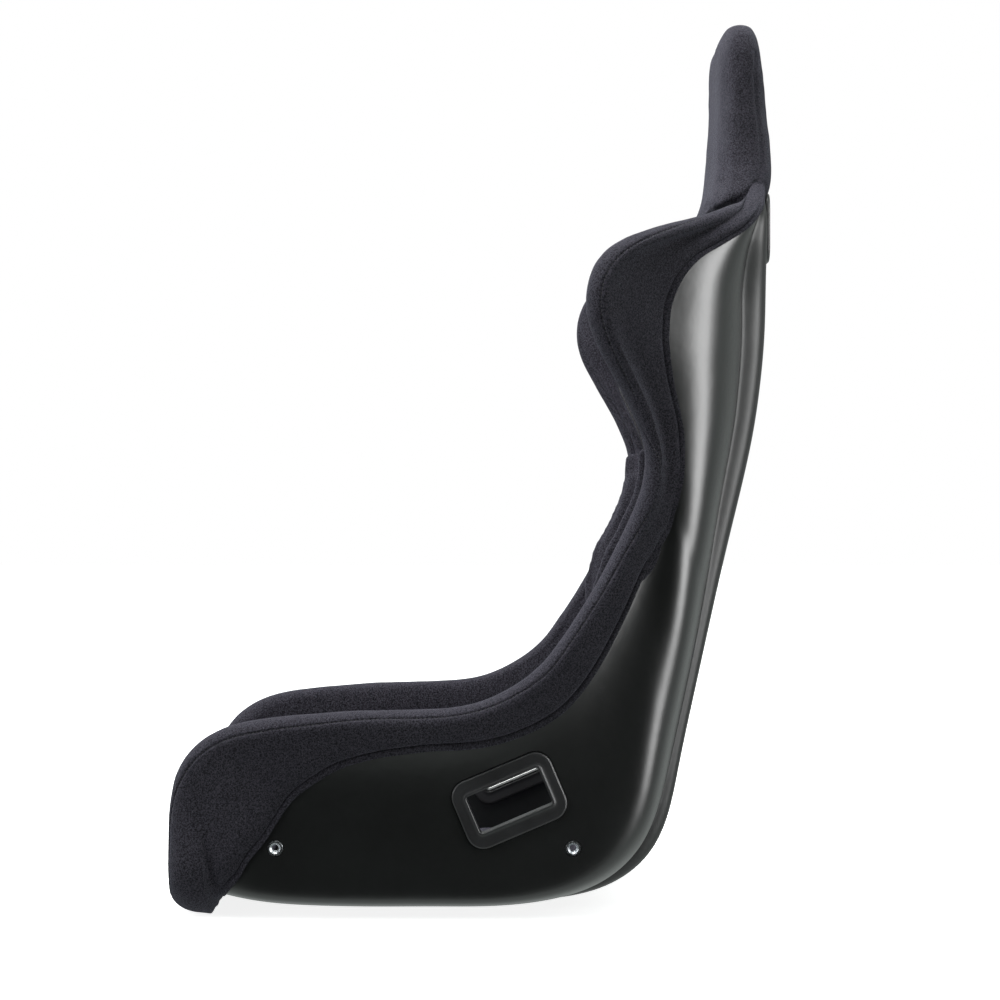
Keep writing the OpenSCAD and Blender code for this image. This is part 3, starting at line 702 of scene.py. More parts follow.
def roll_rows(e):
    """Rows of points across the roll, from the hem over the top to the inside, each
    point's distance from the top, and where hem and inner border lie on the skin."""
    e = np.where(np.abs(e) < 1e-3, 1e-3, e)
    a, side = np.abs(e)[:, None], np.sign(e)[:, None]
    u, v = np.maximum(0, a - 1), np.minimum(1, a)
    out, up = soft_lookup(a, roll_out, 0.07), soft_lookup(a, roll_up)
    low = -WALL - soft_lookup(a, roll_inside)
    fade = FADE * soft_lookup(a, roll_inside) / ROLL_IN
    tu = np.where(a <= 7, soft_lookup(np.minimum(a, 7), tail_u + [(9, 8)], .15), a - 1)
    tv = soft_lookup(a, tail_v)
    iu = np.where(a <= 5, soft_lookup(np.minimum(a, 5), inner_u + [(7, 6)], .15), a - 1)
    iv = soft_lookup(a, inner_v)
    f = np.linspace(0, 1, N_TAIL + 1)[None, :-1]
    run = run_along(skin(mix(tu, u, f), side * mix(tv, v, f)))
    whole = run[:, -1:] * (1 + 1 / N_TAIL)
    front = np.clip((1.25 - a) / 0.35, 0, 1)
    rise = mix(np.clip(0.42 * whole - HEM, 10, 22), 0.9 * whole - HEM, front)
    swell = np.clip((run - HEM) / np.maximum(rise, 8), 0, 1)
    swell = mix(1 - (1 - swell) ** 2, swell, front)
    sewn = 1.9 * soft_lookup(a, hem_deep) * np.exp(-((run - HEM_SEAM) / 1.3) ** 2)
    thick = CLOTH + (out - CLOTH) * swell - sewn
    tail = skin(mix(tu, u, f), side * mix(tv, v, f), thick)
    p, away, beyond = edge_frame(e)
    w = np.linspace(0, math.pi, N_ARC + 1)[None, :, None]
    mid, half = ((out + low) / 2)[..., None], ((out - low) / 2)[..., None]
    arc = (p[:, None] + away[:, None] * (mid + half * np.cos(w))
           + beyond[:, None] * up[..., None] * np.sin(w) ** 0.94)
    f = np.linspace(0, 1, N_IN + 1)[None, 1:]
    depth = np.minimum(-WALL - HUG, low + fade * f * f)
    inside = skin(mix(u, iu, f), side * mix(v, iv, f), depth)
    rows = np.concatenate([tail, arc, inside], axis=1)
    run = run_along(rows)
    return rows, run[:, [TOP]] - run, (tu, tv, iu, iv, u, v, side)


# %% [markdown]
# Rows at even steps along the top keep the mesh even. The seam and the hem need their
# own columns, or a groove two millimetres wide would be lost between two columns. So
# every row is resampled: fixed offsets round the hem and the seam, even spacing between.
# Round the front corner the rows are averaged with their neighbours, more so away from
# the hem, because one cover drawn over thick foam shows no creases there.

# %% Sweep the roll
dense = np.linspace(0, ROLL_END, 1400)
steps = run_along(roll_rows(dense)[0][:, TOP])
half_e = np.interp(np.linspace(0, steps[-1], 330), steps, dense)
edge_e = np.concatenate([-half_e[:0:-1], half_e])
tops, distance, params = roll_rows(edge_e)
edge_run = np.interp(np.abs(edge_e), dense, steps) * np.sign(edge_e)
hem_steps = np.array([0, 1.2, 3, 5, 6, 6.7, HEM_SEAM, 7.7, 8.6])
seam_steps = np.array([4, 2.4, 1.3, .6, 0, -.6, -1.3, -2.4, -4])
SIDE_COLUMNS, INNER_COLUMNS = 26, 40
seam_at = np.minimum(soft_lookup(np.abs(edge_e), seam_far), distance[:, 0] - 17)
columns = np.array([np.concatenate([
    far - hem_steps, np.linspace(far - 10.5, seam + 5, SIDE_COLUMNS),
    seam + seam_steps, np.linspace(seam - 5.5, deep, INNER_COLUMNS)])
    for far, seam, deep in zip(distance[:, 0], seam_at, distance[:, -1])])
seam_column = len(hem_steps) + SIDE_COLUMNS + len(seam_steps) // 2
roll = np.array([[np.interp(-columns[i], -distance[i], tops[i, :, k]) for k in range(3)]
                 for i in range(len(edge_e))]).transpose(0, 2, 1)
from_hem = columns[:, :1] - columns
bend = np.exp(-((np.abs(edge_e[1:-1]) - 0.9) / 0.32) ** 2)[:, None]
bend = bend * np.clip(from_hem[1:-1] / 25, 0.2, 1)
for _ in range(50):
    softer = (roll[:-2] + 2 * roll[1:-1] + roll[2:]) / 4
    roll[1:-1] = mix(roll[1:-1], softer, bend[..., None])
away = unit(np.cross(np.gradient(roll, axis=1), np.gradient(roll, axis=0)))
away = away * np.sign(np.sum(away[0, 30] * (roll[0, 30] - roll[0, -1])))
print("roll rows, columns:", roll.shape[:2], "length mm:", round(steps[-1] * 2))

# %% [markdown]
# Sewn cloth is never quite smooth. The seam pulls a groove and small puckers beside it,
# and the foam under the cover gives slow waves of half a millimetre. Close to the front
# corners the cover is gathered to get round the bend, so there are a few folds.

# %% Seam, puckers and folds
a_e = np.abs(edge_e)[:, None]
off = columns - seam_at[:, None]
strength = soft_lookup(a_e, seam_deep, 0.15)
change = -1.2 * strength * np.exp(-(off / 0.95) ** 2)
change -= 0.3 * strength * np.exp(-(np.abs(off) / 7)) * (
    0.5 + 0.5 * np.cos(edge_run[:, None] * 2 * math.pi / 9))
waves = np.array([[noise.noise(Vector(p) / 38)
                   + 0.5 * noise.noise(Vector(p) / 15 + Vector((9, 4, 2)))
                   for p in row[::4]] for row in roll[::2]])
grid_i, grid_j = (np.linspace(0, few - 1, many)
                  for few, many in zip(waves.shape, roll.shape))
waves = np.array([np.interp(grid_j, np.arange(len(row)), row) for row in waves])
waves = np.array([np.interp(grid_i, np.arange(len(line)), line) for line in waves.T]).T
change += 0.55 * waves
folds = np.exp(-((a_e - 0.86) / 0.16) ** 2) * np.exp(-((from_hem - 16) / 16) ** 2)
change += 0.8 * folds * np.cos(edge_run[:, None] / 12.0 + from_hem / 26)
roll = roll + away * change[..., None]
print("cloth moved mm:", round(float(change.min()), 2), "to", round(float(change.max()), 2))

# %% [markdown]
# The outer sheet alone would be open. A second sheet that hugs the laminate closes the
# roll to a full padded section, and the short ends are filled.

# %% Close the roll
tu, tv, iu, iv, u, v, side = params
f = np.linspace(1, 0, 7)[None]
under_in = skin(mix(u, iu, f), side * mix(v, iv, f), -WALL - 0.4)
p, out_way, beyond = edge_frame(np.where(np.abs(edge_e) < 1e-3, 1e-3, edge_e))
over = np.stack([p + out_way * x + beyond * 0.8 for x in (-WALL, -2.5, 0.4)], 1)
f = np.linspace(1, 0, 9)[None]
under_out = skin(mix(tu, u, f), side * mix(tv, v, f), 0.35)
rim_roll = tube("rim_roll_cover", roll, under_in, over, under_out)
finished(rim_roll, velour, "velour", SHELL, "nose_cover", "nose_foam",
         *[f"{part}_{layer}_{hand}" for part in ("thigh", "wing")
           for layer in ("cover", "foam") for hand in ("left", "right")])

# %% [markdown]
# The stitches lie in the seam, four millimetres apart. Each is a tiny ball drawn out
# along the seam: twenty faces are enough, because there are hundreds of them.


# %% Stitches
def stitches(name, points, normals, pitch=4.2, length=2.9, thick=0.75):
    """One mesh of stitches along a line of points, in millimetres."""
    run = run_along(points)

    def along(rows, s):
        return np.array([np.interp(s, run, column) for column in rows.T])
    bm = bmesh.new()
    for s in np.arange(pitch / 2, run[-1], pitch):
        at_s, out = along(points, s), along(normals, s)
        ahead, behind = along(points, s + 1), along(points, s - 1)
        x = Vector(unit(ahead - behind))
        z = (Vector(out) - x * x.dot(Vector(out))).normalized()
        frame_at = turned((x, z.cross(x), z), at_s + out * 0.1)
        size = Matrix.Diagonal((length / 2000, thick / 2000, thick / 2000, 1))
        bmesh.ops.create_icosphere(bm, subdivisions=1, radius=1, matrix=frame_at @ size)
    return add_object(name, bm)


seam_line = roll[:, seam_column] + away[:, seam_column] * 0.2
for label, low, high in (("rim", -17.1, 17.1), ("wing_left", 18.1, 24.2),
                         ("wing_right", -24.2, -18.1)):
    chosen = (edge_e > low) & (edge_e < high)
    finished(stitches("seam_" + label, seam_line[chosen], away[chosen, seam_column]),
             thread, "velour", SHELL)

# %% [markdown]
# At the lumbar bend the wing's cover runs a little way down under the thigh's cover, and
# a thin tab of it shows outside the hem.

# %% Cover tabs at the lumbar
TAB_FROM, TAB_TO, TAB_REACH, TAB_UNDER = 13.75, 14.85, 0.013, 0.012
tab_e = np.linspace(TAB_FROM, TAB_TO, 40)[:, None]
reach = TAB_REACH * np.clip(np.sin(math.pi * (tab_e - TAB_FROM) / (TAB_TO - TAB_FROM)),
                            0, 1) ** 0.7
w = np.linspace(0, 1, 9)[None]
tab_v = soft_lookup(tab_e, tail_v) + TAB_UNDER - (reach + TAB_UNDER) * w
for side, hand in ((1, "left"), (-1, "right")):
    tab = tube(f"cover_tab_{hand}", skin(tab_e - 1, side * tab_v, 1.7 - 0.9 * w ** 3),
               skin(tab_e - 1, side * tab_v[:, ::-1], 0.3))
    finished(tab, velour, "velour", SHELL)

# %% [markdown]
# ## Padded pieces by cloth simulation
# Foam under a cover pushes the cloth out between its seams. Blender's cloth with a
# little air pressure does the same to a closed mesh. The mesh is remeshed to even
# voxels, inflated for twenty frames, and no point may move further than a cap. Then
# the result is kept as a plain mesh, smoothed once, and the seams are drawn in.


# %% Inflate
def places_of(mesh):
    """A mesh's points as rows of x, y and z, in metres."""
    places = np.empty(len(mesh.vertices) * 3)
    mesh.vertices.foreach_get("co", places)
    return places.reshape(-1, 3)


def inflate(obj, cap, voxel=0.005, pressure=4.0):
    """Swells a closed mesh like a stuffed cover. Cap and voxel are in metres."""
    remesh = obj.modifiers.new("remesh", "REMESH")
    remesh.mode, remesh.voxel_size = "VOXEL", voxel
    apply_modifiers(obj)
    start = places_of(obj.data)
    cloth = obj.modifiers.new("cloth", "CLOTH")
    cloth.settings.quality = 4
    cloth.settings.use_pressure = True
    cloth.settings.uniform_pressure_force = pressure
    cloth.settings.effector_weights.gravity = 0
    cloth.settings.tension_stiffness = cloth.settings.compression_stiffness = 30
    cloth.settings.mass = 0.3
    for i in range(1, 21):
        bpy.context.scene.frame_set(i)
    apply_modifiers(obj)
    bpy.context.scene.frame_set(1)
    move = places_of(obj.data) - start
    far = np.linalg.norm(move, axis=1, keepdims=True)
    end = start + move * np.minimum(1, cap / np.maximum(far, 1e-9))
    obj.data.vertices.foreach_set("co", end.ravel().astype(np.float32))
    print(obj.name, "moved mm, at most and on average:",
          round(float(far.max()) * 1000, 1), round(float(far.mean()) * 1000, 1))


def refine(obj, move, rounds=6):
    """Smooths and subdivides a mesh, then moves each point by move(point, normal)."""
    bm = bmesh.new()
    bm.from_mesh(obj.data)
    for _ in range(rounds):
        bmesh.ops.smooth_vert(bm, verts=bm.verts, factor=0.5, use_axis_x=True,
                              use_axis_y=True, use_axis_z=True)
    bm.to_mesh(obj.data)
    bm.free()
    subsurf = obj.modifiers.new("fine", "SUBSURF")
    subsurf.levels = subsurf.render_levels = 1
    apply_modifiers(obj)
    bm = bmesh.new()
    bm.from_mesh(obj.data)
    bm.normal_update()
    places = [(vert, move(vert.co * 1000, vert.normal)) for vert in bm.verts]
    for vert, step in places:
        vert.co += step / 1000
    for face in bm.faces:
        face.smooth = True
    bm.to_mesh(obj.data)
    bm.free()


def groove(distance, depth=1.6, width=1.6):
    """Depth of a sewn groove at a distance from its seam, in millimetres."""
    return -depth * math.exp(-(distance / width) ** 2)


def ripple(point, amount, size=30.0):
    """Slow waves of stuffed cloth."""
    return amount * (noise.noise(point / size) + 0.4 * noise.noise(point / (size * 0.4)))


# %% [markdown]
# ## The head pad
# It is a block of foam with well rounded edges over the top of the shell. Its cover has
# a front and sides in one, and a band round the back that runs down into the shoulder
# rolls. Rings of a superellipse, which is an ellipse with squarer corners, give the form.

# %% Head form
SWELL, HEAD_TOP, RING = 2.0, 901.5, 72
# Height, half width, front and rear of each level, with the swell included
head_form = [(700, 152, 232, 296), (708, 152, 238, 297), (716, 149, 242, 299.5),
             (724, 146, 245, 302), (736, 140, 247, 303.5), (752, 132, 249, 303.5),
             (778, 125, 251, 302), (812, 121, 253, 298.5), (844, 117, 253.5, 296),
             (868, 112, 253.5, 293.5), (884, 104, 254.5, 292), (894, 93, 256, 290),
             (899.5, 76, 259.5, 286.5), (HEAD_TOP, 52, 264.5, 282)]
levels, *sizes = np.array(head_form, float).T


def head_ring(z):
    """Superellipse at height z, a swell's depth inside the finished pad."""
    half_w, front, rear = (np.interp(z, levels, size) for size in sizes)
    a = -2 * math.pi * (np.arange(RING + 1) + 0.5) / RING
    y_mid, y_half = (front + rear) / 2, (rear - front) / 2 - SWELL
    x = (half_w - SWELL) * np.sign(np.cos(a)) * np.abs(np.cos(a)) ** 0.4
    y = y_mid + y_half * np.sign(np.sin(a)) * np.abs(np.sin(a)) ** 0.55
    return np.stack([x, y, np.full(RING + 1, min(z, HEAD_TOP - SWELL))], -1)


fine_z = np.interp(np.linspace(0, 1, 60), np.linspace(0, 1, len(levels)), levels)
head = add_object("head_pad", swept(np.array([head_ring(z) for z in fine_z])))
inflate(head, 0.004)

# %% [markdown]
# The seam between the side panel and the rear band starts near the top of the rear
# edge, follows it down, and swings forward above the shoulder roll.

# %% Head seams
band_seam = [(288, 862), (287.5, 846), (286.6, 830), (289.6, 794), (292, 767), (291.5, 744),
             (287, 730), (278, 717), (262, 706), (250, 701)]
band_line = at(spline(np.array(band_seam, float)), np.linspace(0, len(band_seam) - 1, 120))


def head_move(p, normal):
    near = float(np.min(np.hypot(band_line[:, 0] - p.y, band_line[:, 1] - p.z)))
    amount = groove(near, 2.2, 2.0) if abs(p.x) > 70 else 0.0
    return normal * (amount + ripple(p, 0.7))


refine(head, head_move, 3)
finished(head, velour, "velour", SHELL, "head_cover", "head_foam")

# %% [markdown]
# ## The mesh panel behind the shoulders
# Between the wings a thin pad faced with spacer mesh lets air through behind the belts.
# It tapers out under the rolls, and reaches down at the sides behind the back cushion.
# The shoulder belts pass through it, so the same cutters as for the shell open it.

# %% Back panel
PANEL_FROM, PANEL_TO = 15.2, 25.4
panel_u = np.linspace(PANEL_FROM, PANEL_TO, 116)[:, None]
panel_v = soft_lookup(panel_u, [(PANEL_FROM, .88), (16, .93), (17.5, .945), (18.5, .93),
                                (19.5, .87), (20.5, .79), (23, .72), (24.3, .6),
                                (PANEL_TO, .48)])
across = np.linspace(-1, 1, 101)[None]
thick = soft_lookup(panel_u, [(15.7, 2.8), (18.4, 3.0), (19.2, 11.6), (24.6, 11.6),
                              (PANEL_TO, 7)], .25)
crown = 1 - 0.62 * np.abs(across) ** 6
front = skin(panel_u, panel_v * across, -WALL - np.maximum(thick * crown, 2.4))
rear = skin(panel_u, panel_v * across[:, ::-1], -WALL - 0.5)
panel = tube("back_panel", front, rear)
cut(panel, [cutter(slot_block(40), shoulder_matrix(s, BACK_FACE)) for s in (-1, 1)])
crisp(panel, 50)
finished(panel, mesh_cloth, "spacer_mesh", SHELL, "back_panel_mesh", "back_panel_foam")

# %% [markdown]
# ## The seat cushion
# A thick pad lies on the pan between the thigh rolls, with an opening for the crotch
# belt. It starts as a grid over the pan, closed underneath, with its sides rounded.
# Two sewn channels run across it and one border seam runs round the top.

# %% Seat cushion form
SEAT_FROM, SEAT_TO, SEAT_V, UNDER, SEAT_T = 2.5, 8.9, 0.59, 3.4, 38
SEAT_SWELL, CHANNELS, BORDER_X = 5.0, (-10, 60), 140


def seat_top(u, v):
    """Top of the cushion, a swell's height below its full height."""
    r = at(rail, u.ravel())
    q = skin(u, v, -WALL)
    lean = unit(r[:, 2:4] - r[:, 0:2]).reshape(u.shape + (2,))
    edge = 10 * np.abs(2 * (u - (SEAT_FROM + SEAT_TO) / 2) / (SEAT_TO - SEAT_FROM)) ** 6
    s = (r[:, 7].reshape(u.shape) + WALL + SEAT_T - SEAT_SWELL - edge
         - 9 * (np.abs(v) / SEAT_V) ** 4)
    return np.stack([q[..., 0], r[:, 0].reshape(u.shape) + lean[..., 0] * s,
                     r[:, 1].reshape(u.shape) + lean[..., 1] * s], -1)


seat_u, seat_v = np.meshgrid(np.linspace(SEAT_FROM + .1, SEAT_TO - .1, 60),
                             np.linspace(-SEAT_V + .012, SEAT_V - .012, 60), indexing="ij")
seat = tube("seat_cushion", seat_top(seat_u, seat_v),
            skin(seat_u, seat_v[:, ::-1], -WALL - UNDER - 1.5))
hole = rounded_block(SLOT_L + 2 * FLANGE + 20, SLOT_W + 2 * FLANGE + 22, 24, -20, 120)
bmesh.ops.translate(hole, verts=hole.verts, vec=(0, CROTCH_Y / 1000, 0))
cut(seat, [add_object("cutter", hole)])
inflate(seat, 0.007)


def seat_move(p, normal):
    """Keeps the underside flat and sews two channels and the border into the top."""
    amount = ripple(p, 1.0)
    if normal.z > 0.25:
        for channel in CHANNELS:
            if abs(p.x) < BORDER_X:
                amount += groove(abs(p.y - channel), 2.4, 3.0)
        amount += groove(abs(max(abs(p.x) - BORDER_X + 12, 0) - 12), 1.4, 1.8)
    return normal * (amount if normal.z > -0.5 else 0.0)


refine(seat, seat_move, 5)
finished(seat, velour, "velour", SEAT, "seat_cushion_cover", "seat_cushion_foam")

# %% [markdown]
# ## The back cushion
# It fills the lumbar hollow and has side flaps that line the rolls, lean forward and
# stand a little ahead of them. Its front is a profile of heights across, its rear
# follows the shell. Towards the top the flaps level out where the wings begin.

# %% Back cushion form
BACK_FROM, BACK_TO, RISE, FLAP_X, FLAP_T, AHEAD = 9.7, 16.8, 1.5, 180, 20, 17
FLAP_LEAN, FLAP_Z, REAR_V, BACK_SWELL = 18, 468, 0.7, 3.0
# Across, height over the pad, and share of the way from there to the flap's top
back_profile = [(0, 0, 0), (30, 0, 0), (60, 1, 0), (88, 5, 0), (112, 14, 0), (130, 28, 0),
                (142, 28, .25), (152, 28, .55), (FLAP_X - FLAP_T, 28, .85),
                (FLAP_X - FLAP_T / 2, 28, 1)]


def section(u):
    """The rail's values at one station number."""
    return at(rail, np.array([u], float))[0]


def plane_point(u, x, s):
    """Point at x and distance s from the keel in the section at u."""
    r = section(u)
    lean = unit(r[2:4] - r[0:2])
    return np.array([x, r[0] + lean[0] * s, r[1] + lean[1] * s])


def flap_top(u):
    """Distance of the flap's top from the keel: beyond the rim, but not above FLAP_Z."""
    r = section(u)
    k = min(1, (u - BACK_FROM) / 1.6)
    reach = math.hypot(r[2] - r[0], r[3] - r[1])
    limit = (FLAP_Z - r[1]) / ((r[3] - r[1]) / reach) - AHEAD
    return -6 * np.logaddexp(-mix(r[7] + 90, reach, k) / 6, -limit / 6)


def risen(u, w):
    """Station number with the top border arched up in the middle, where w is 0."""
    return u + RISE * (1 - w) * ((u - BACK_FROM) / (BACK_TO - BACK_FROM)) ** 2


def forward(u, share):
    """How far a point of the flap leans towards the driver."""
    return np.array([0, -FLAP_LEAN * share * min(1, max(0, (u - BACK_FROM - 0.6) / 2)), 0])


def back_rear(u):
    """Rear face from the middle to the flap, then the flap's outer side."""
    points = [skin(risen(u, (v / REAR_V) ** 2), v, -WALL - UNDER - 2)
              for v in np.linspace(0, REAR_V, 8)]
    r, q = section(u), skin(u, REAR_V)
    s = math.hypot(q[1] - r[0], q[2] - r[1])
    points.append(plane_point(u, FLAP_X, mix(s, flap_top(u), 0.5)) + forward(u, 0.4))
    points.append(plane_point(u, FLAP_X - 2, flap_top(u) + AHEAD - 7) + forward(u, 1))
    return points


def back_front(u, t):
    """Front face from the middle to the flap's top, t deep in the cushion."""
    points = []
    for x, y, share in back_profile:
        w = min(1, x / 130) ** 2
        at_u = risen(u, w)
        h = section(at_u)[7] + 8 + mix(46, 36, min(1, (u - BACK_FROM) / 2.2))
        tip = share == 1
        s = mix(h + y, flap_top(u) + (AHEAD if tip else 0), share)
        slope = min(1, max(0, (x - 100) / 40))
        points.append(plane_point(at_u, x + (0 if tip else t * slope),
                                  s - t * (1 if tip else 1 - 0.6 * slope))
                      + forward(u, share))
    return points


def both(half):
    """A half row of points with its mirror image in front."""
    half = np.array(half)
    return np.concatenate([half[:0:-1] * (-1, 1, 1), half])


def smooth_row(points, n):
    """The row of points as n points of a spline, evenly counted."""
    return at(spline(points), np.linspace(0, len(points) - 1, n))


back_u = np.linspace(BACK_FROM + .12, BACK_TO - .12, 70)
back = tube("back_cushion",
            np.array([smooth_row(both(back_front(u, BACK_SWELL)), 90) for u in back_u]),
            np.array([smooth_row(both(back_rear(u)), 60)[::-1] for u in back_u]))
inflate(back, 0.004, voxel=0.004)


# %% Back cushion seams
def back_move(p, normal):
    """Border seams where the flaps begin and two sewn channels across the middle."""
    amount = ripple(p, 1.0)
    if normal.y < 0.1:
        amount += groove(abs(abs(p.x) - 118), 2.2, 2.6)
        if abs(p.x) < 112:
            for channel in (215, 300, 385):
                amount += groove(abs(p.z - 0.12 * (p.y - 150) - channel), 2.4, 3.2)
    return normal * amount


refine(back, back_move, 4)
finished(back, velour, "velour", BACK, "back_cushion_cover", "back_cushion_foam")

# %% [markdown]
# ## Belt bezels
# Each belt opening has a moulded frame on both faces of the wall. Its cross-section is
# the same all round: a flat flange with a rounded outer edge and a raised lip at the
# opening, then a sleeve. A loop of edges is extruded once for every point of that
# section, and the last loop is bridged to the first.


# %% Bezel shape
def loop_points(half_l, half_w, radius, n=7):
    """Rounded rectangle as a closed row of points."""
    points = []
    for q in range(4):
        sx, sy = (1 if q in (0, 3) else -1), (1 if q < 2 else -1)
        for i in range(n + 1):
            a = math.radians(90 * q + 90 * i / n)
            points.append((sx * (half_l - radius) + radius * math.cos(a),
                           sy * (half_w - radius) + radius * math.sin(a)))
    return points


def bezel(name, sleeve, deep, matrix, mirrored):
    """A flange on z = 0 and up, with a sleeve reaching down. The sleeve stands that many
    millimetres outside the opening, and blend goes from the outer edge to the hole."""
    outer = (SLOT_L / 2 + FLANGE, SLOT_W / 2 + FLANGE + 2, 17)
    hole = (SLOT_L / 2 + sleeve - 1.5, SLOT_W / 2 + sleeve - 1.5, 1.5 + sleeve)
    tube = (SLOT_L / 2 + sleeve, SLOT_W / 2 + sleeve, 3 + sleeve)
    blend = [(0, 0), (0, 2.2), (.012, 2.9), (.04, 3.5), (.09, 3.9), (.16, 4), (.5, 3.7),
             (.74, 3.7), (.8, 4.1), (.86, 4.6), (.92, 4.6), (.97, 4.2), (1, 3.4)]
    section = [(tuple(mix(a, b, k) for a, b in zip(outer, hole)), z) for k, z in blend]
    section += [(hole, -deep + .4), (tuple((a + b) / 2 for a, b in zip(hole, tube)), -deep),
                (tube, -deep + .4), (tube, 0)]
    bm = bmesh.new()
    bmesh.ops.create_circle(bm, cap_ends=False, segments=len(loop_points(*outer)), radius=1)
    verts = sorted(bm.verts, key=lambda w: math.atan2(w.co.y, w.co.x) % (2 * math.pi))
    edges = bm.edges[:]
    for k, (shape, z) in enumerate(section):
        if k:
            made = bmesh.ops.extrude_edge_only(bm, edges=edges)["geom"]
            new = [w for w in made if isinstance(w, bmesh.types.BMVert)]
            edges = [w for w in made if isinstance(w, bmesh.types.BMEdge)
                     and all(x in new for x in w.verts)]
            joined = {}
            for w in new:
                for x in w.link_edges:
                    if x.other_vert(w) in verts:
                        joined[x.other_vert(w)] = w
            verts = [joined[w] for w in verts]
        for w, (x, y) in zip(verts, loop_points(*shape)):
            w.co = (x / 1000, y / 1000, z / 1000)
        if not k:
            first = edges
    bmesh.ops.bridge_loops(bm, edges=first + edges)
    if mirrored:
        bmesh.ops.scale(bm, verts=bm.verts, vec=(1, 1, -1))
    bmesh.ops.transform(bm, verts=bm.verts, matrix=matrix)
    bmesh.ops.recalc_face_normals(bm, faces=bm.faces)
    return add_object(name, bm, sharp=40)


# %% Place the bezels
for side, hand in ((1, "left"), (-1, "right")):
    places = [("lap_bezel_outer", 1.5, 12, lap_matrix(side, LAP_SEAT + .5), False),
              ("lap_bezel_inner", 3.5, 5, lap_matrix(side, MOUNT_X - WALL - 1.6), True),
              ("shoulder_bezel_rear", 1.5, 24, shoulder_matrix(side, BACK_FACE + .8), False),
              ("shoulder_bezel_front", 3.5, 14,
               shoulder_matrix(side, BACK_FACE - WALL - 13.6), True)]
    for name, sleeve, deep, matrix, mirrored in places:
        finished(bezel(f"{name}_frame_{hand}", sleeve, deep, matrix, mirrored),
                 plastic, "moulded_black", SHELL, f"{name}_{hand}")
for name, sleeve, deep, z, mirrored in (
        ("crotch_bezel_lower", 1.5, 13, PAN_FACE - 1, False),
        ("crotch_bezel_upper", 3.5, 5, PAN_FACE + WALL + 1.2, True)):
    finished(bezel(name + "_frame", sleeve, deep, crotch_matrix(z), mirrored),
             plastic, "moulded_black", SHELL, name)

# %% [markdown]
# ## Threaded bushes
# The seat is bolted to its side mounts through four steel bushes. A turned part is a
# spun outline: collar inside, barrel through the wall, chamfered mouth outside, and a
# bore with a groove for each turn of the thread.

# %% Bushes
inner_face = MOUNT_X - WALL - 1.4
BORE, GROOVE, PITCH = 3.4, 3.75, 1.25
profile = [(BORE, inner_face - 3), (12.6, inner_face - 3), (13, inner_face - 2.6),
           (13, inner_face - .4), (12.6, inner_face), (7.5, inner_face),
           (7.5, MOUNT_X - .5), (7.1, MOUNT_X), (5.4, MOUNT_X), (3.5, MOUNT_X - 1.9)]
z = MOUNT_X - 2.4
while z > inner_face - 2.2:
    profile += [(GROOVE, z), (BORE, z - .6)]
    z -= PITCH
for side, hand in ((1, "left"), (-1, "right")):
    for y, end in zip(MOUNT_Y, ("front", "rear")):
        bm = bmesh.new()
        verts = [bm.verts.new((r / 1000, 0, h / 1000)) for r, h in profile]
        for a, b in zip(verts, verts[1:] + verts[:1]):
            bm.edges.new((a, b))
        bmesh.ops.spin(bm, geom=bm.verts[:] + bm.edges[:], cent=(0, 0, 0), axis=(0, 0, 1),
                       angle=2 * math.pi, steps=48, use_merge=True)
        bmesh.ops.transform(bm, verts=bm.verts, matrix=turned(
            ((0, 1, 0), (0, 0, side), (side, 0, 0)), (0, y, MOUNT_Z)))
        bmesh.ops.recalc_face_normals(bm, faces=bm.faces)
        finished(add_object(f"bush_{end}_{hand}", bm, sharp=35), steel, "zinc_steel",
                 SHELL, f"mount_bush_{end}_{hand}")

# %% [markdown]
# The hook and loop strips under the cushions are right as the CAD made them: plain flat
# tapes. They only get the tape material.

# %% Strips
for name in ("seat_hook_strips", "seat_loop_strips", "back_hook_strips",
             "back_loop_strips"):
    for tape_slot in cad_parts[name].material_slots:
        tape_slot.material = tape
print("tapes done")

# %% [markdown]
# ## Floor and light
# A plain pale floor under a white surround. A glossy black wall shows what stands
# opposite, so only the camera sees the surround white: reflections find it dark to the
# side and brighter overhead. Two soft boxes stand beside and behind the seat, a wide one
# for the soft edges of the light band down the flank and a narrow one for its middle,
# and neither lights the cloth. A box above lights the pile, and a weaker one the front.

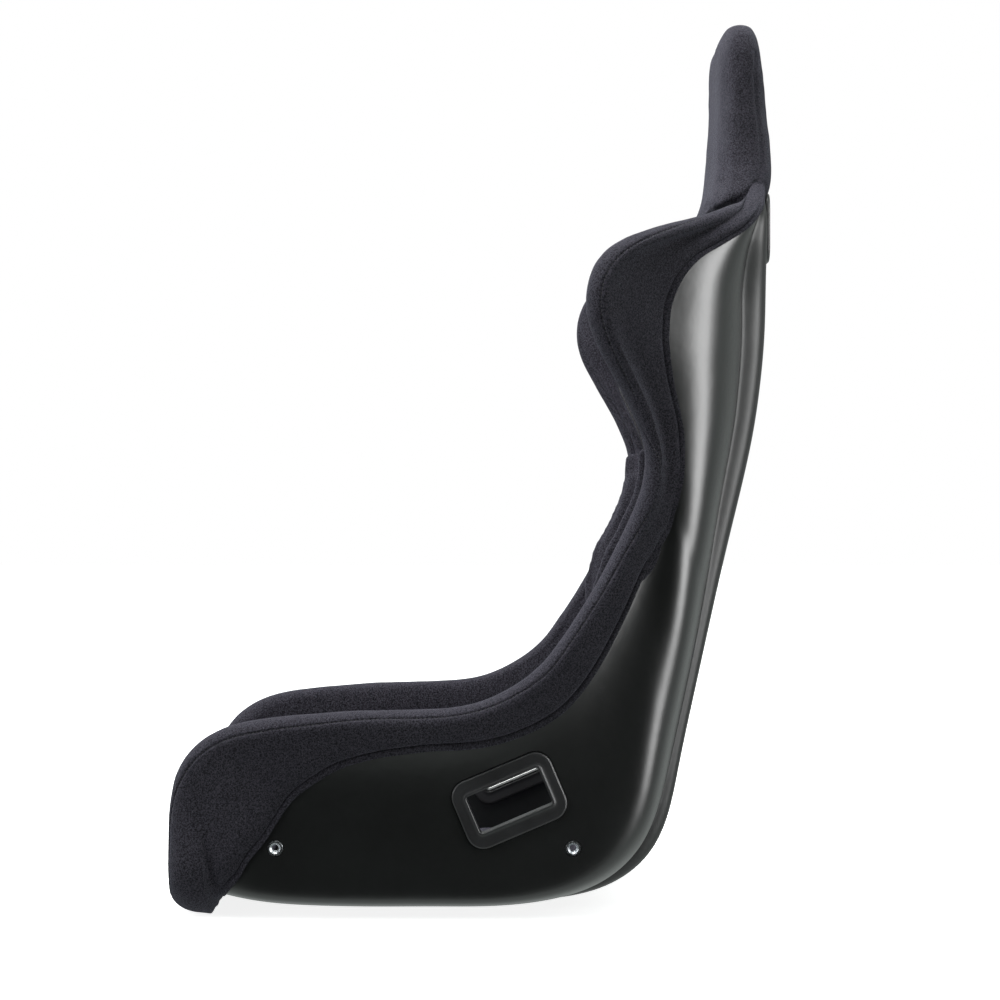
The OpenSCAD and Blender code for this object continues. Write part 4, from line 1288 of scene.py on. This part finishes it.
# %% Stage
bm = bmesh.new()
bmesh.ops.create_grid(bm, x_segments=1, y_segments=1, size=14)
floor = add_object("floor", bm)
floor_paint, n, shader = new_material(
    "floor_paint", (0.86, 0.86, 0.86),
    **{"Roughness": 0.9, "Specular IOR Level": 0.0, "Emission Color": (1, 1, 1, 1),
       "Emission Strength": 0.84})
soft_tone = n.noise(n.where(), 3.0, 2.0, 0.5)
feed(n, shader, n.blend(soft_tone, (0.84, 0.84, 0.84, 1), (0.88, 0.88, 0.88, 1)))
floor.data.materials.append(floor_paint)
floor.visible_diffuse = floor.visible_glossy = False

world = bpy.data.worlds.new("surround")
bpy.context.scene.world = world
world.use_nodes = True
world.node_tree.nodes.clear()
n = Nodes(world.node_tree)
path = n.add("ShaderNodeLightPath")
seen = n.add("ShaderNodeBackground", {"Color": (1, 1, 1, 1), "Strength": 1.0})
aim = n.add("ShaderNodeSeparateXYZ", {0: n.add("ShaderNodeTexCoord").outputs["Generated"]})
to_side = n.ramp(aim.outputs["X"], 0.6, 0.92, 0.42, 0.004)
overhead = n.ramp(aim.outputs["Z"], 0.25, 0.9, 0.0, 0.45)
underfoot = n.ramp(aim.outputs["Z"], -0.35, -0.8, 0.0, 0.5)
glow = n.math("ADD", n.math("ADD", to_side, overhead), underfoot)
dim = n.add("ShaderNodeBackground", {"Color": (0.93, 1.0, 0.97, 1), "Strength": glow})
both_ways = n.add("ShaderNodeMixShader", {0: path.outputs["Is Camera Ray"],
                                          1: dim.outputs[0], 2: seen.outputs[0]})
end = n.add("ShaderNodeOutputWorld", {"Surface": both_ways.outputs[0]})


def soft_box(name, location, target, size, power, lights_cloth=True):
    light = bpy.data.lights.new(name, "AREA")
    light.shape, light.size, light.size_y, light.energy = "RECTANGLE", *size, power
    obj = bpy.data.objects.new(name, light)
    obj.location = location
    obj.rotation_euler = (Vector(target) - Vector(location)).to_track_quat(
        "-Z", "Y").to_euler()
    obj.visible_diffuse = lights_cloth
    bpy.context.scene.collection.objects.link(obj)


soft_box("top_box", (0.1, -0.5, 2.5), (0, 0, 0.4), (2.4, 2.2), 112)
soft_box("flank_box", (1.5, 2.2, 0.7), (0.15, 0.15, 0.45), (2.2, 2.8), 58, False)
soft_box("flank_core", (1.42, 2.05, 0.75), (0.15, 0.15, 0.45), (1.1, 2.3), 54, False)
soft_box("front_box", (1.2, -2.6, 1.0), (0, 0, 0.3), (1.6, 1.6), 22)
bpy.context.scene.view_settings.view_transform = "Standard"
print("lights ready")
